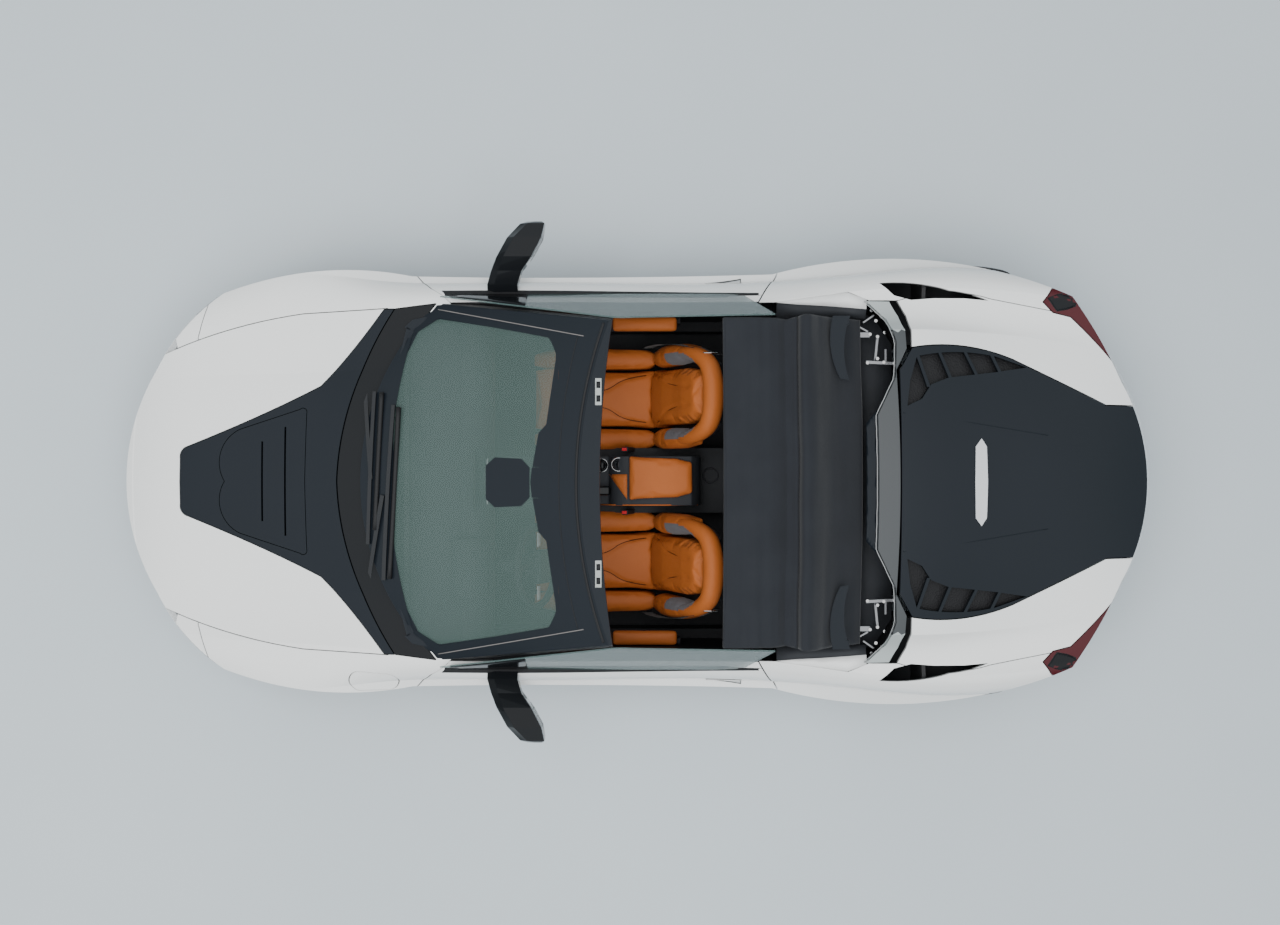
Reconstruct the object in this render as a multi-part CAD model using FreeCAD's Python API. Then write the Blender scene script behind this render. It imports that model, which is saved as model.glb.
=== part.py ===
import FreeCAD, Part
import math
import os

os.makedirs("parts", exist_ok=True)
Vec = FreeCAD.Vector

# A two-seat roadster with its folding top part way, in millimetres.
# +X is forward, +Y is the car's left, +Z is up, and z = 0 is the ground.

# Driving dimensions
LENGTH = 4689.0
HALF = LENGTH / 2
AXLE_FRONT = 1400.0
AXLE_REAR = -1400.0
TRACK_FRONT = 1644.0
TRACK_REAR = 1721.0
TYRE_R = 351.0
TYRE_WIDTH_FRONT = 195.0
TYRE_WIDTH_REAR = 215.0
RIM_R = 254.0
ARCH_R = 385.0
PANEL = 26.0
SEAM = 5.0
SEAT_GAP = 0.3
PIN_GAP = 0.05
FLOOR_THICK = 40.0
TRAY_Z = 117.0
TRAY_THICK = 12.0
FLOOR_Z = TRAY_Z + TRAY_THICK
SILL_TOP = 335.0
SILL_IN = 700.0
SILL_OUT = 850.0
BULKHEAD_FRONT = 1010.0
BULKHEAD_REAR = -640.0
BULKHEAD_THICK = 24.0
KINGPIN_Y = 745.0


# Outlines: a start point, then a point for a line, or a pair (point on the way, end) for an arc
def spot(plane, level, point):
    a, b = point
    if plane == "xy":
        return Vec(a, b, level)
    if plane == "xz":
        return Vec(a, level, b)
    return Vec(level, a, b)


def outline(plane, level, start, *steps):
    edges = []
    here = spot(plane, level, start)
    for step in steps:
        if isinstance(step[0], tuple):
            via = spot(plane, level, step[0])
            there = spot(plane, level, step[1])
            edges.append(Part.Arc(here, via, there).toShape())
        else:
            there = spot(plane, level, step)
            edges.append(Part.LineSegment(here, there).toShape())
        here = there
    first = spot(plane, level, start)
    if here.distanceToPoint(first) > 1e-6:
        edges.append(Part.LineSegment(here, first).toShape())
    return Part.Wire(edges)


def prism(plane, low, high, start, *steps):
    face = Part.Face(outline(plane, low, start, *steps))
    way = {"xy": Vec(0, 0, 1), "xz": Vec(0, 1, 0), "yz": Vec(1, 0, 0)}[plane]
    return face.extrude(way * (high - low))


def block(x0, x1, y0, y1, z0, z1):
    return Part.makeBox(x1 - x0, y1 - y0, z1 - z0, Vec(x0, y0, z0))


def other_side(shape):
    return shape.mirror(Vec(0, 0, 0), Vec(0, 1, 0))


def both(shape):
    return Part.makeCompound([shape, other_side(shape)])


def fuse(first, *rest):
    return first.fuse(list(rest)).removeSplitter() if rest else first


def rounded(shape, radius, keep=None):
    edges = [e for e in shape.Edges if keep is None or keep(e)]
    return shape.makeFillet(radius, edges)


# Upper surface of the body, as sections across the car
# columns: x, crown height at the middle, valley (y, z), dip of the arc from valley to crest,
# crest (y, z), shoulder (y, z), height at the outside
TOP = [
    (2420, 505, 440, 490, 4, 640, 480, 860, 420, 380),
    (2236, 612, 450, 592, 4, 650, 585, 850, 510, 420),
    (1900, 728, 470, 700, 6, 690, 722, 880, 658, 520),
    (1400, 812, 480, 772, 10, 715, 816, 912, 776, 690),
    (985, 905, 500, 868, 8, 745, 888, 872, 800, 640),
    (400, 940, 520, 915, 4, 770, 922, 872, 800, 650),
    (-600, 1000, 600, 950, 4, 782, 938, 876, 800, 660),
    (-1000, 1120, 640, 1040, 25, 820, 985, 905, 850, 680),
    (-1400, 1105, 640, 1010, 28, 825, 990, 930, 850, 700),
    (-1800, 1030, 600, 960, 20, 790, 972, 880, 860, 700),
    (-2150, 935, 520, 905, 4, 700, 900, 830, 860, 640),
    (-2420, 840, 480, 810, 4, 640, 800, 800, 760, 560),
]
BEYOND = 1150.0


def top_section(row, drop):
    x, zt, yv, zv, dip, yc, zc, ys, zs, zo = row
    mid_vc = ((yv + yc) / 2, (zv + zc) / 2 - dip - drop)
    mid_cs = (yc + (ys - yc) * 0.62, zs + (zc - zs) * 0.72 - drop)
    right = [(-y, z) for y, z in (mid_vc, mid_cs)]
    return outline(
        "yz", x, (-BEYOND, 0), (BEYOND, 0), (BEYOND, zo - drop), (ys, zs - drop),
        (mid_cs, (yc, zc - drop)), (mid_vc, (yv, zv - drop)),
        ((0, zt - drop), (-yv, zv - drop)), (right[0], (-yc, zc - drop)),
        (right[1], (-ys, zs - drop)), (-BEYOND, zo - drop))


# Outline of the body from above, at several heights
# columns: z, front, front corner (x, y), fender start (x, y), half width at the front axle,
# at the door's front, middle and rear, at the rear axle, rear corner (x, y), tail corner (x, y), tail
PLAN = [
    (100, 2250, 2150, 480, 1900, 840, 880, 850, 830, 850, 890, -2000, 780, -2160, 480, -2200),
    (300, 2326, 2228, 500, 1945, 855, 925, 900, 885, 905, 945, -2020, 835, -2225, 530, -2304),
    (480, 2343, 2211, 505, 1912, 856, 940, 912, 880, 918, 968, -1990, 830, -2225, 490, -2343),
    (660, 2278, 2145, 500, 1850, 842, 938, 914, 900, 921, 970, -1950, 818, -2175, 475, -2300),
    (850, 2190, 2060, 480, 1800, 822, 915, 890, 880, 900, 950, -1900, 805, -2110, 452, -2225),
    (1200, 2000, 1930, 450, 1700, 760, 860, 840, 830, 850, 900, -1850, 770, -2040, 410, -2140),
]
DOOR_SEAM_FRONT = 985.0
DOOR_SEAM_REAR = -600.0


def plan_section(row, inset):
    z, xf, x1, y1, x2, y2, yfa, ydf, ydm, ydr, yra, x3, y3, x4, y4, xr = row
    a = [(x1 - inset, y1 - inset * 0.4), (x2 - inset * 0.7, y2 - inset * 0.8)]
    a.append((DOOR_SEAM_FRONT, ydf - inset))
    a.append((DOOR_SEAM_REAR, ydr - inset))
    a.append((x3 + inset * 0.6, y3 - inset * 0.8))
    a.append((x4 + inset * 0.9, y4 - inset * 0.5))
    corner_front = ((a[0][0] + a[1][0]) / 2 + 28, (a[0][1] + a[1][1]) / 2 + 16)
    corner_rear = ((a[4][0] + a[5][0]) / 2 - 8, (a[4][1] + a[5][1]) / 2 + 10)
    left = [(corner_front, a[1]), ((AXLE_FRONT, yfa - inset), a[2]), ((200, ydm - inset), a[3]),
            ((AXLE_REAR, yra - inset), a[4]), (corner_rear, a[5])]
    steps = list(left)
    steps.append(((xr + inset, 0), (a[5][0], -a[5][1])))
    ends = [a[4], a[3], a[2], a[1], a[0]]
    vias = [corner_rear, (AXLE_REAR, yra - inset), (200, ydm - inset), (AXLE_FRONT, yfa - inset),
            corner_front]
    for via, end in zip(vias, ends):
        steps.append(((via[0], -via[1]), (end[0], -end[1])))
    steps.append(((xf - inset, 0), a[0]))
    return outline("xy", z, a[0], *steps)


def envelope(inset):
    over = Part.makeLoft([top_section(row, inset) for row in TOP], True, False)
    around = Part.makeLoft([plan_section(row, inset) for row in PLAN], True, False)
    return over.common(around)


body_outer = envelope(0)
body_inner = envelope(PANEL)
body_seat = envelope(PANEL + SEAT_GAP)
SKIRT_Z = 140.0
TALL = 1600.0
shell = body_outer.cut(body_inner)
shell = shell.cut(block(-3000, 3000, -1500, 1500, 0, SKIRT_Z))
for axle, reach in ((AXLE_FRONT, 560.0), (AXLE_REAR, 600.0)):
    arch = Part.makeCylinder(ARCH_R, 2 * BEYOND, Vec(axle, -BEYOND, TYRE_R), Vec(0, 1, 0))
    shell = shell.cut(arch.cut(block(-3000, 3000, -reach, reach, 0, TALL)))

# Door: a wedge that widens outwards, so that it lifts out of its opening
DOOR_IN = 775.0
DOOR_REF = 900.0
DOOR_SLANT_FRONT = 0.70
DOOR_SLANT_REAR = -0.50
DOOR_SIDE = [(-450, SILL_TOP), (-545, 520), (-612, 790), (-560, 1100), (700, 1100), (862, 932),
             (930, 860), (985, 700), (1003, 500), (985, SILL_TOP)]


def door_face(y, grow):
    points = []
    for x, z in DOOR_SIDE:
        front = x > 200
        slant = DOOR_SLANT_FRONT if front else DOOR_SLANT_REAR
        x = x + slant * (y - DOOR_REF) + (grow if front else -grow)
        points.append((x, z - grow if z <= SILL_TOP else z))
    return outline("xz", y, points[0], *points[1:])


def door_wedge(grow):
    return Part.makeLoft([door_face(640, grow), door_face(1100, grow)], True, True)


wedge = door_wedge(0)
DOOR_GAP = 6.5
wedge_gap = fuse(door_wedge(DOOR_GAP), other_side(door_wedge(DOOR_GAP)))
door_left = body_outer.common(wedge).common(block(-900, 1300, DOOR_IN, 1200, 0, 1000))
shell = shell.cut(wedge_gap)

# The cabin opening, from the windscreen's foot back to the cover over the folded top
CABIN = [(-1016, 0), (-1016, 281), (-1050, 347), (-1100, 440), (-1116, 593), (-1092, 690), (-1016, 766),
         (-908, 812), (-600, 772), (820, 765), (859, 763), ((1090, 400), (1193, 0))]
cabin = prism("xy", 600, TALL, *CABIN)
cabin = fuse(cabin, other_side(cabin))
shell = shell.cut(cabin)

# Plan outlines of the panels, half of each, closed along the middle
HOOD = [(2330, 0), (2300, 300), (2150, 558), ((1942, 630), (1460, 733)), (1078, 750), (1078, 0)]
BLACK = [(2036, 0), (2034, 100), ((2026, 136), (2003, 152)), ((1661, 289), (1385, 418)),
         ((1293, 514), (1091, 748)), (860, 768), (860, 0)]
BAND = [(2036, 0), (2034, 100), ((2026, 136), (2003, 152)), ((1661, 289), (1385, 418)),
        ((1293, 514), (1091, 748)), (1050, 748), ((1235, 400), (1311, 0))]
VENT = [(1822, 0), ((1812, 183), (1752, 229)), (1478, 316), ((1456, 318), (1450, 300)), (1456, 0)]
PLENUM = [(1305, 0), ((1229, 400), (1044, 748)), (866, 768), ((1096, 400), (1199, 0))]
LID = [(-1109, 0), (-1109, 470), (-1165, 566), ((-1385, 574), (-1600, 520)), (-2012, 326), (-2400, 322),
       (-2400, 0)]
DECK_EDGE = [(-1120, 772), ((-1316, 808), (-1516, 781)), (-1785, 731)]
LAMP = [(-1790, 728), (-1868, 709), ((-1978, 603), (-2090, 470)), (-2132, 398), (-2400, 390), (-2400, 1000),
        (-1905, 1000), (-1745, 771)]
# Air channel between the flying tip of the rear fender and the deck
CHANNEL = [(-1040, 850), ((-1183, 848), (-1338, 817)), ((-1436, 800), (-1509, 775)), (-1403, 784), (-1273, 784),
           (-1175, 776), (-1102, 795)]


def half_region(points, low=300.0, high=TALL, grow=0.0):
    half = Part.Face(outline("xy", low, *points))
    if grow:
        half = Part.Face(half.makeOffset2D(grow, 0).Wires[0])
    solid = half.extrude(Vec(0, 0, high - low))
    return fuse(solid, other_side(solid))


GAP = 4.0
hood_region = half_region(HOOD)
band_region = half_region(BAND)
vent_region = half_region(VENT)
plenum_region = half_region(PLENUM)
nose_z = 585.0
hood = shell.common(hood_region).common(block(1000, 2400, -900, 900, nose_z + GAP, TALL))
hood = hood.cut(half_region(BLACK, grow=GAP))
hood_band = shell.common(band_region).cut(half_region(VENT, grow=3.0))
hood_vent = shell.common(vent_region)
for x, half in ((1650, 176), (1545, 240)):
    hood_vent = hood_vent.cut(block(x - 4, x + 4, -half, half, nose_z, TALL))
plenum = shell.common(plenum_region)
shell = shell.cut(half_region(HOOD, low=nose_z, grow=GAP)).cut(half_region(PLENUM, grow=GAP))
shell = shell.cut(half_region(BAND, grow=GAP))

# Nose: bumper, lamps and grille
NOSE_CUT = [(1800, 1100), (1955, 640), (1955, 0), (2700, 0), (2700, 1100)]
nose_region = half_region(NOSE_CUT, low=0)
bumper = shell.common(nose_region)
shell = shell.cut(half_region(NOSE_CUT, low=0, grow=GAP))
GRILLE_Z = (250.0, 430.0)
GRILLE_Y = 600.0
LAMP_Z = (600.0, 660.0)
bumper = bumper.cut(block(2100, 2600, -GRILLE_Y, GRILLE_Y, *GRILLE_Z))
inset = envelope(14.0)
core = envelope(40.0)
slats = []
for z in (256.0, 290.0, 324.0, 358.0, 392.0, 418.0):
    slats.append(block(2100, 2600, -GRILLE_Y, GRILLE_Y, z, z + 8))
for y in range(-560, 561, 140):
    slats.append(block(2100, 2600, y - 5, y + 5, *GRILLE_Z))
grille = inset.cut(core).common(fuse(*slats))
lamp_zone = block(1945, 2260, 470, 1000, *LAMP_Z)
lamp_zone = fuse(lamp_zone, other_side(lamp_zone))
head_lamps = bumper.common(lamp_zone)
housing = body_inner.cut(envelope(PANEL + 22)).common(block(1925, 2300, 440, 1000, LAMP_Z[0] - 20, LAMP_Z[1] + 20))
head_lamps = Part.makeCompound([fuse(one, two) for one, two in zip(
    sorted(head_lamps.Solids, key=lambda s: -s.CenterOfMass.y), (housing, other_side(housing)))])
lamp_room = block(1942, 2263, 467, 1000, LAMP_Z[0] - 3, LAMP_Z[1] + 3)
bumper = bumper.cut(lamp_room).cut(other_side(lamp_room))

# Sides and tail
sills = shell.common(block(DOOR_SEAM_REAR - 20, DOOR_SEAM_FRONT + 20, -1200, 1200, 0, SILL_TOP + 10))
shell = shell.cut(block(DOOR_SEAM_REAR - 24, DOOR_SEAM_FRONT + 24, -1200, 1200, 0, SILL_TOP + 10 + GAP))
front_fenders = shell.common(block(300, 2600, -1300, 1300, 0, TALL))
rear = shell.common(block(-2600, -300, -1300, 1300, 0, TALL))
lid_region = half_region(LID, low=850)
boot_lid = rear.common(lid_region)
LID_VENT = [(-1135, 320), (-1150, 427), (-1182, 530), ((-1368, 550), (-1530, 532)), (-1662, 487), (-1530, 466),
            (-1314, 440), (-1238, 410), (-1198, 350)]
# columns: outer end of a vane (x, y), inner end (x, y)
LID_VANES = [(-1178, 560, -1228, 400), (-1273, 570, -1327, 430), (-1385, 570, -1445, 440), (-1501, 560, -1550, 450)]
LID_BAR = [(-1421, 0), (-1424, 150), (-1450, 184), (-1472, 150), (-1476, 0)]
vent_hole = Part.Face(outline("xy", 850, *LID_VENT)).extrude(Vec(0, 0, TALL - 850))
for xo, yo, xi, yi in LID_VANES:
    vent_hole = vent_hole.cut(prism("xy", 850, TALL, (xo - 7, yo), (xo + 7, yo), (xi + 7, yi), (xi - 7, yi)))
boot_lid = boot_lid.cut(vent_hole).cut(other_side(vent_hole))
rear = rear.cut(half_region(LID, low=850 - SEAM, grow=SEAM))
tail_lamps = rear.common(half_region(LAMP, low=800))
rear = rear.cut(half_region(LAMP, low=800 - GAP, grow=GAP))
BUMPER_Z = 796.0
REAR_CUT = [(-1880, 0), (-1880, 600), (-1790, 1100), (-2700, 1100), (-2700, 0)]
TAIL_Y = 328.0
tail_core = block(-2700, -2100, -TAIL_Y, TAIL_Y, BUMPER_Z - 1, 900)
rear_bumper = rear.common(fuse(half_region(REAR_CUT, low=0, high=BUMPER_Z), tail_core))
rear = rear.cut(half_region(REAR_CUT, low=0, high=BUMPER_Z + GAP, grow=GAP))
rear = rear.cut(block(-2700, -2100 + GAP, -TAIL_Y - GAP, TAIL_Y + GAP, BUMPER_Z, 900))
channel = Part.Face(outline("xy", 870, *CHANNEL)).extrude(Vec(0, 0, TALL - 870))
rear = rear.cut(channel).cut(other_side(channel))
DECK = [(-1000, 0), (-1000, 772), *DECK_EDGE, (-1815, 771), (-1960, 1000), (-2600, 1000), (-2600, 0)]
rear_deck = rear.common(half_region(DECK, low=700))
rear_fenders = rear.cut(half_region(DECK, low=700, grow=3.0))

# Cover over the folded top: it follows the front edge of the rear deck and stands raised at rest
COVER = [(-1104, 0), (-1104, 466), (-1158, 560), (-1160, 640), (-1146, 705), (-1112, 769), (-600, 769),
         (-600, 0)]
COVER_TILT = 12.0
cover_flat = rear_deck.common(half_region(COVER, low=700))
cover_hinge = Vec(-1104, 0, 1142)
rear_deck = rear_deck.cut(half_region(COVER, low=700, grow=SEAM))
LUG_Y = (284.3, 296.3)
cover_arm = block(-1085, -1050, LUG_Y[0] - SEAT_GAP - 12, LUG_Y[0] - SEAT_GAP, 1000, 1130)
cover_arm = cover_arm.cut(body_outer.cut(body_inner))
cover_arm = max(cover_arm.Solids, key=lambda one: -one.CenterOfMass.z)
cover_flat = cover_flat.fuse([cover_arm, other_side(cover_arm)])
lid_arm = block(-1200, -1160, LUG_Y[1] + SEAT_GAP, LUG_Y[1] + SEAT_GAP + 12, 985, 1110)
lid_arm = lid_arm.cut(body_outer.cut(body_inner))
lid_arm = max(lid_arm.Solids, key=lambda one: -one.CenterOfMass.z)
boot_lid = boot_lid.fuse([lid_arm, other_side(lid_arm)])
top_cover = cover_flat.copy()
top_cover.rotate(cover_hinge, Vec(0, 1, 0), -COVER_TILT)

# The underbody
TRAY = [(2180, 0), (2180, 520), (1830, 560), (1780, 520), (1020, 520), (990, 840), (-620, 840), (-1000, 560),
        (-1780, 560), (-1950, 600), (-1950, 0)]
undertray = both(Part.Face(outline("xy", TRAY_Z, *TRAY)).extrude(Vec(0, 0, TRAY_THICK)))
undertray = fuse(undertray.Solids[0], undertray.Solids[1])

sill = block(BULKHEAD_REAR, DOOR_SEAM_FRONT, SILL_IN, SILL_OUT, FLOOR_Z, SILL_TOP - SEAM)
floor = block(BULKHEAD_REAR, BULKHEAD_FRONT, -SILL_IN, SILL_IN, FLOOR_Z, FLOOR_Z + FLOOR_THICK)
TUNNEL_Y = 150.0
TUNNEL_TOP = 430.0
TUNNEL_WALL = 16.0
tunnel = block(BULKHEAD_REAR, BULKHEAD_FRONT, -TUNNEL_Y, TUNNEL_Y, FLOOR_Z, TUNNEL_TOP)
BATTERY = (-500.0, 900.0)
cell_room = block(*BATTERY, -TUNNEL_Y + TUNNEL_WALL, TUNNEL_Y - TUNNEL_WALL, FLOOR_Z + FLOOR_THICK,
                  TUNNEL_TOP - TUNNEL_WALL)
battery = block(BATTERY[0] + SEAT_GAP, BATTERY[1] - SEAT_GAP, -TUNNEL_Y + TUNNEL_WALL + SEAT_GAP,
                TUNNEL_Y - TUNNEL_WALL - SEAT_GAP, FLOOR_Z + FLOOR_THICK, TUNNEL_TOP - TUNNEL_WALL - SEAT_GAP)
ENGINE = block(-1690, -1240 - SEAT_GAP, -330, 330, 300, 760)
front_wall = body_seat.common(block(BULKHEAD_FRONT - BULKHEAD_THICK, BULKHEAD_FRONT, -1000, 1000, FLOOR_Z, 860))
rear_wall = body_seat.common(block(BULKHEAD_REAR - BULKHEAD_THICK, BULKHEAD_REAR, -1000, 1000, FLOOR_Z, 905))
shelf = body_seat.common(block(-960, BULKHEAD_REAR, -1000, 1000, 830, 842))
sill = sill.common(body_seat)
tub = fuse(floor, tunnel, sill, other_side(sill), front_wall, rear_wall, shelf).cut(cell_room)
tub = tub.cut(wedge_gap)

# Frames that carry the panels, the arms and the crash beams
RAIL_Y = (400.0, 450.0)
RAIL_Z = (300.0, 380.0)
BEAM_Z = (430.0, 520.0)


def frame_end(x_wall, x_beam, side):
    low, high = sorted((x_wall, x_beam))
    rail = block(low, high, *RAIL_Y, RAIL_Z[0], BEAM_Z[1])
    rail = rail.cut(block(low + 60, high - 200, RAIL_Y[0], RAIL_Y[1], RAIL_Z[1], 600)) if side > 0 else (
        rail.cut(block(low + 200, high - 60, RAIL_Y[0], RAIL_Y[1], RAIL_Z[1], 600)))
    beam = body_seat.common(block(*sorted((x_beam - 40 * side, side * 3000)), -620, 620, *BEAM_Z))
    return [rail, other_side(rail), beam]


# Wheel-arch liners: a band round each tyre, closed by a wall on its inner side above the arms
LINER_R = 392.0
LINER_THICK = 4.0
LINER_BOTTOM = 250.0
LINER_WALL_BOTTOM = 400.0
# columns: axle, y of the inner wall
LINERS = [(AXLE_FRONT, 505.0), (AXLE_REAR, 608.0)]
axle_clear = []
liners = []
for axle, inside in LINERS:
    room = Part.makeCylinder(LINER_R + LINER_THICK + SEAT_GAP, 2 * BEYOND, Vec(axle, -BEYOND, TYRE_R), Vec(0, 1, 0))
    axle_clear.append(room.cut(block(-3000, 3000, SEAT_GAP - inside, inside - SEAT_GAP, 0, TALL)))
    band = Part.makeCylinder(LINER_R + LINER_THICK, BEYOND - inside, Vec(axle, inside, TYRE_R), Vec(0, 1, 0))
    hollow = Part.makeCylinder(LINER_R, BEYOND - inside, Vec(axle, inside + LINER_THICK, TYRE_R), Vec(0, 1, 0))
    below = block(axle - 600, axle + 600, inside - 1, BEYOND + 1, 0, LINER_BOTTOM)
    arms_room = block(axle - 600, axle + 600, inside - 1, inside + LINER_THICK, 0, LINER_WALL_BOTTOM)
    side = band.cut(hollow).cut(below).cut(arms_room).common(body_seat)
    liners += [side, other_side(side)]
tub = tub.cut(axle_clear[0])
front_cross = block(1330, 1350, -730, 730, 640, 900)
front_cross = fuse(front_cross, block(1216, 1232, -730, 730, 640, 900), block(1700, 1716, -700, 700, 560, 900))
front_cross = fuse(front_cross, block(BULKHEAD_FRONT, 1900, 712, 730, 640, 900),
                   block(BULKHEAD_FRONT, 1900, -730, -712, 640, 900))
front_cross = fuse(front_cross, block(1180, 1232, 400, 440, RAIL_Z[0], 700),
                   block(1180, 1232, -440, -400, RAIL_Z[0], 700), block(1700, 1716, 400, 440, 330, 600),
                   block(1700, 1716, -440, -400, 330, 600))
front_frame = fuse(body_seat.common(front_cross), *frame_end(BULKHEAD_FRONT, 2180, 1))
front_frame = front_frame.cut(axle_clear[0]).cut(cabin)
front_frame = fuse(front_frame, block(1380, 1420, -450, 450, 200, 240), block(1380, 1420, -450, -400, 240, 310),
                   block(1380, 1420, 400, 450, 240, 310))
BULK_R = BULKHEAD_REAR - BULKHEAD_THICK
rear_cross = fuse(block(-1240, -1224, 590, 1000, 700, 1200), block(-1240, -1224, -1000, -590, 700, 1200),
                  block(-1830, -1814, 560, 900, 500, 1200), block(-1830, -1814, -900, -560, 500, 1200),
                  block(-1830, -1224, 590, 606, 700, 780), block(-1830, -1224, -606, -590, 700, 780),
                  block(-1240, -1224, 280, 606, 700, 730), block(-1240, -1224, -606, -280, 700, 730),
                  block(-2000, -1830, 560, 576, 500, 780), block(-2000, -1830, -576, -560, 500, 780))
rear_cross = body_seat.common(rear_cross).cut(half_region(LID, low=850 - 40, grow=12.0))
rear_rails = frame_end(BULK_R, -2175, -1)
lug = prism("xz", LUG_Y[0], LUG_Y[1], (-1240, 700), (-1240, 1000), (-1190, 1035), (-1085, 1035), (-1040, 1000),
            (-1060, 700))
posts = fuse(lug, other_side(lug), block(-1830, -1814, 400, 606, 380, 530), block(-1830, -1814, -606, -400, 380, 530),
             block(-1830, -1814, 400, 450, 350, 400), block(-1830, -1814, -450, -400, 350, 400))
rear_frame = fuse(rear_cross, *rear_rails).cut(axle_clear[1])
rear_frame = fuse(rear_frame, posts, block(-1420, -1380, -450, 450, 200, 240),
                  block(-1420, -1380, 400, 450, 240, 310), block(-1420, -1380, -450, -400, 240, 310),
                  block(-1240, -1224, -450, 450, 340, 380))

# Wheels: a tyre, a rim with paired spokes, and what carries them
SPOKES = 10
SPINDLE_R = 30.0


def revolve_y(points, x, y):
    face = Part.Face(outline("yz", 0, *points))
    ring = face.revolve(Vec(0, 0, 0), Vec(0, 1, 0), 360)
    ring.translate(Vec(x, y, TYRE_R))
    return ring


def tyre(x, y, width):
    w = width / 2
    section = [(-w * 0.80, RIM_R + SEAT_GAP), (-w, RIM_R + 38), (-w * 0.92, TYRE_R - 12), (-w * 0.78, TYRE_R),
               (w * 0.78, TYRE_R), (w * 0.92, TYRE_R - 12), (w, RIM_R + 38), (w * 0.80, RIM_R + SEAT_GAP)]
    return revolve_y(section, x, y)


def rim(x, y, width, side):
    w = width / 2 * 0.80
    barrel = revolve_y([(-w, RIM_R), (-w, RIM_R - 14), (w, RIM_R - 14), (w, RIM_R)], x, y)
    hub_out = side * (w - 12)
    hub = revolve_y([(hub_out, SPINDLE_R + PIN_GAP), (hub_out - side * 46, SPINDLE_R + PIN_GAP),
                     (hub_out - side * 46, 74), (hub_out, 62)], x, y)
    arms = []
    for k in range(SPOKES):
        arm = prism("xz", min(hub_out, hub_out - side * 26), max(hub_out, hub_out - side * 26),
                    (-13, 55), (-9, RIM_R - 10), (9, RIM_R - 10), (13, 55))
        lean = 11 if k % 2 else -11
        arm.rotate(Vec(0, 0, 0), Vec(0, 1, 0), k * 360 / SPOKES + lean)
        arm.translate(Vec(x, y, TYRE_R))
        arms.append(arm)
    disc = revolve_y([(hub_out - side * 46, SPINDLE_R + PIN_GAP), (hub_out - side * 62, SPINDLE_R + PIN_GAP),
                      (hub_out - side * 62, 165), (hub_out - side * 54, 165), (hub_out - side * 46, 70)], x, y)
    return fuse(barrel, hub, *arms, disc)


def carrier(x, y, width, side):
    w = width / 2 * 0.80
    face = y + side * (w - 12 - 62)
    inner = face - side * 8
    spindle = Part.makeCylinder(SPINDLE_R, 70, Vec(x, min(inner, inner + side * 70), TYRE_R), Vec(0, 1, 0))
    body = block(x - 45, x + 45, *sorted((inner, inner - side * 34)), TYRE_R - 130, TYRE_R + 130)
    pad_y = sorted((face + side * 24, inner - side * 30))
    caliper = Part.makeCylinder(215, pad_y[1] - pad_y[0], Vec(x, pad_y[0], TYRE_R), Vec(0, 1, 0))
    hollow = Part.makeCylinder(172, pad_y[1] - pad_y[0], Vec(x, pad_y[0], TYRE_R), Vec(0, 1, 0))
    caliper = caliper.cut(hollow).common(block(x - 240, x - 60, -1000, 1000, TYRE_R - 90, TYRE_R + 90))
    bridge = block(x - 200, x - 40, *sorted((inner, inner - side * 24)), TYRE_R - 30, TYRE_R + 30)
    return fuse(spindle, body, caliper, bridge)


# columns: name, x, y, width, side
WHEELS = [
    ("front_left", AXLE_FRONT, TRACK_FRONT / 2, TYRE_WIDTH_FRONT, 1),
    ("front_right", AXLE_FRONT, -TRACK_FRONT / 2, TYRE_WIDTH_FRONT, -1),
    ("rear_left", AXLE_REAR, TRACK_REAR / 2, TYRE_WIDTH_REAR, 1),
    ("rear_right", AXLE_REAR, -TRACK_REAR / 2, TYRE_WIDTH_REAR, -1),
]
nodes = {}
for name, x, y, width, side in WHEELS:
    nodes["tyre_" + name] = tyre(x, y, width)
    nodes["rim_" + name] = rim(x, y, width, side)
KINGPIN_R = 10.0
EYE_R = 22.0
LINK_Z = (235.0, 360.0)
LINK_HALF = 12.0
upright = carrier(*WHEELS[0][1:])
pin = Part.makeCylinder(KINGPIN_R, LINK_Z[1] - LINK_Z[0] + 2 * LINK_HALF + 6,
                        Vec(AXLE_FRONT, KINGPIN_Y, LINK_Z[0] - LINK_HALF - 3))
pin_block = block(AXLE_FRONT - 14, AXLE_FRONT + 14, KINGPIN_Y - 12, KINGPIN_Y + 42,
                  LINK_Z[0] + LINK_HALF + 8, LINK_Z[1] - LINK_HALF - 8)
knuckle = fuse(upright, pin, pin_block)
nodes["knuckle_left"] = knuckle
nodes["knuckle_right"] = other_side(knuckle)


# Suspension links end in balls that sit in the carrier's inner face
def link(x, z, y_in, y_out, spread):
    arm = prism("xy", z - 12, z + 12, (x - spread, y_in), (x + spread, y_in), (x + 18, y_out), (x - 18, y_out))
    slot = prism("xy", z - 12, z + 12, (x - spread + 34, y_in - 1), (x + spread - 34, y_in - 1), (x, y_out - 70))
    return arm.cut(slot)


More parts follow.
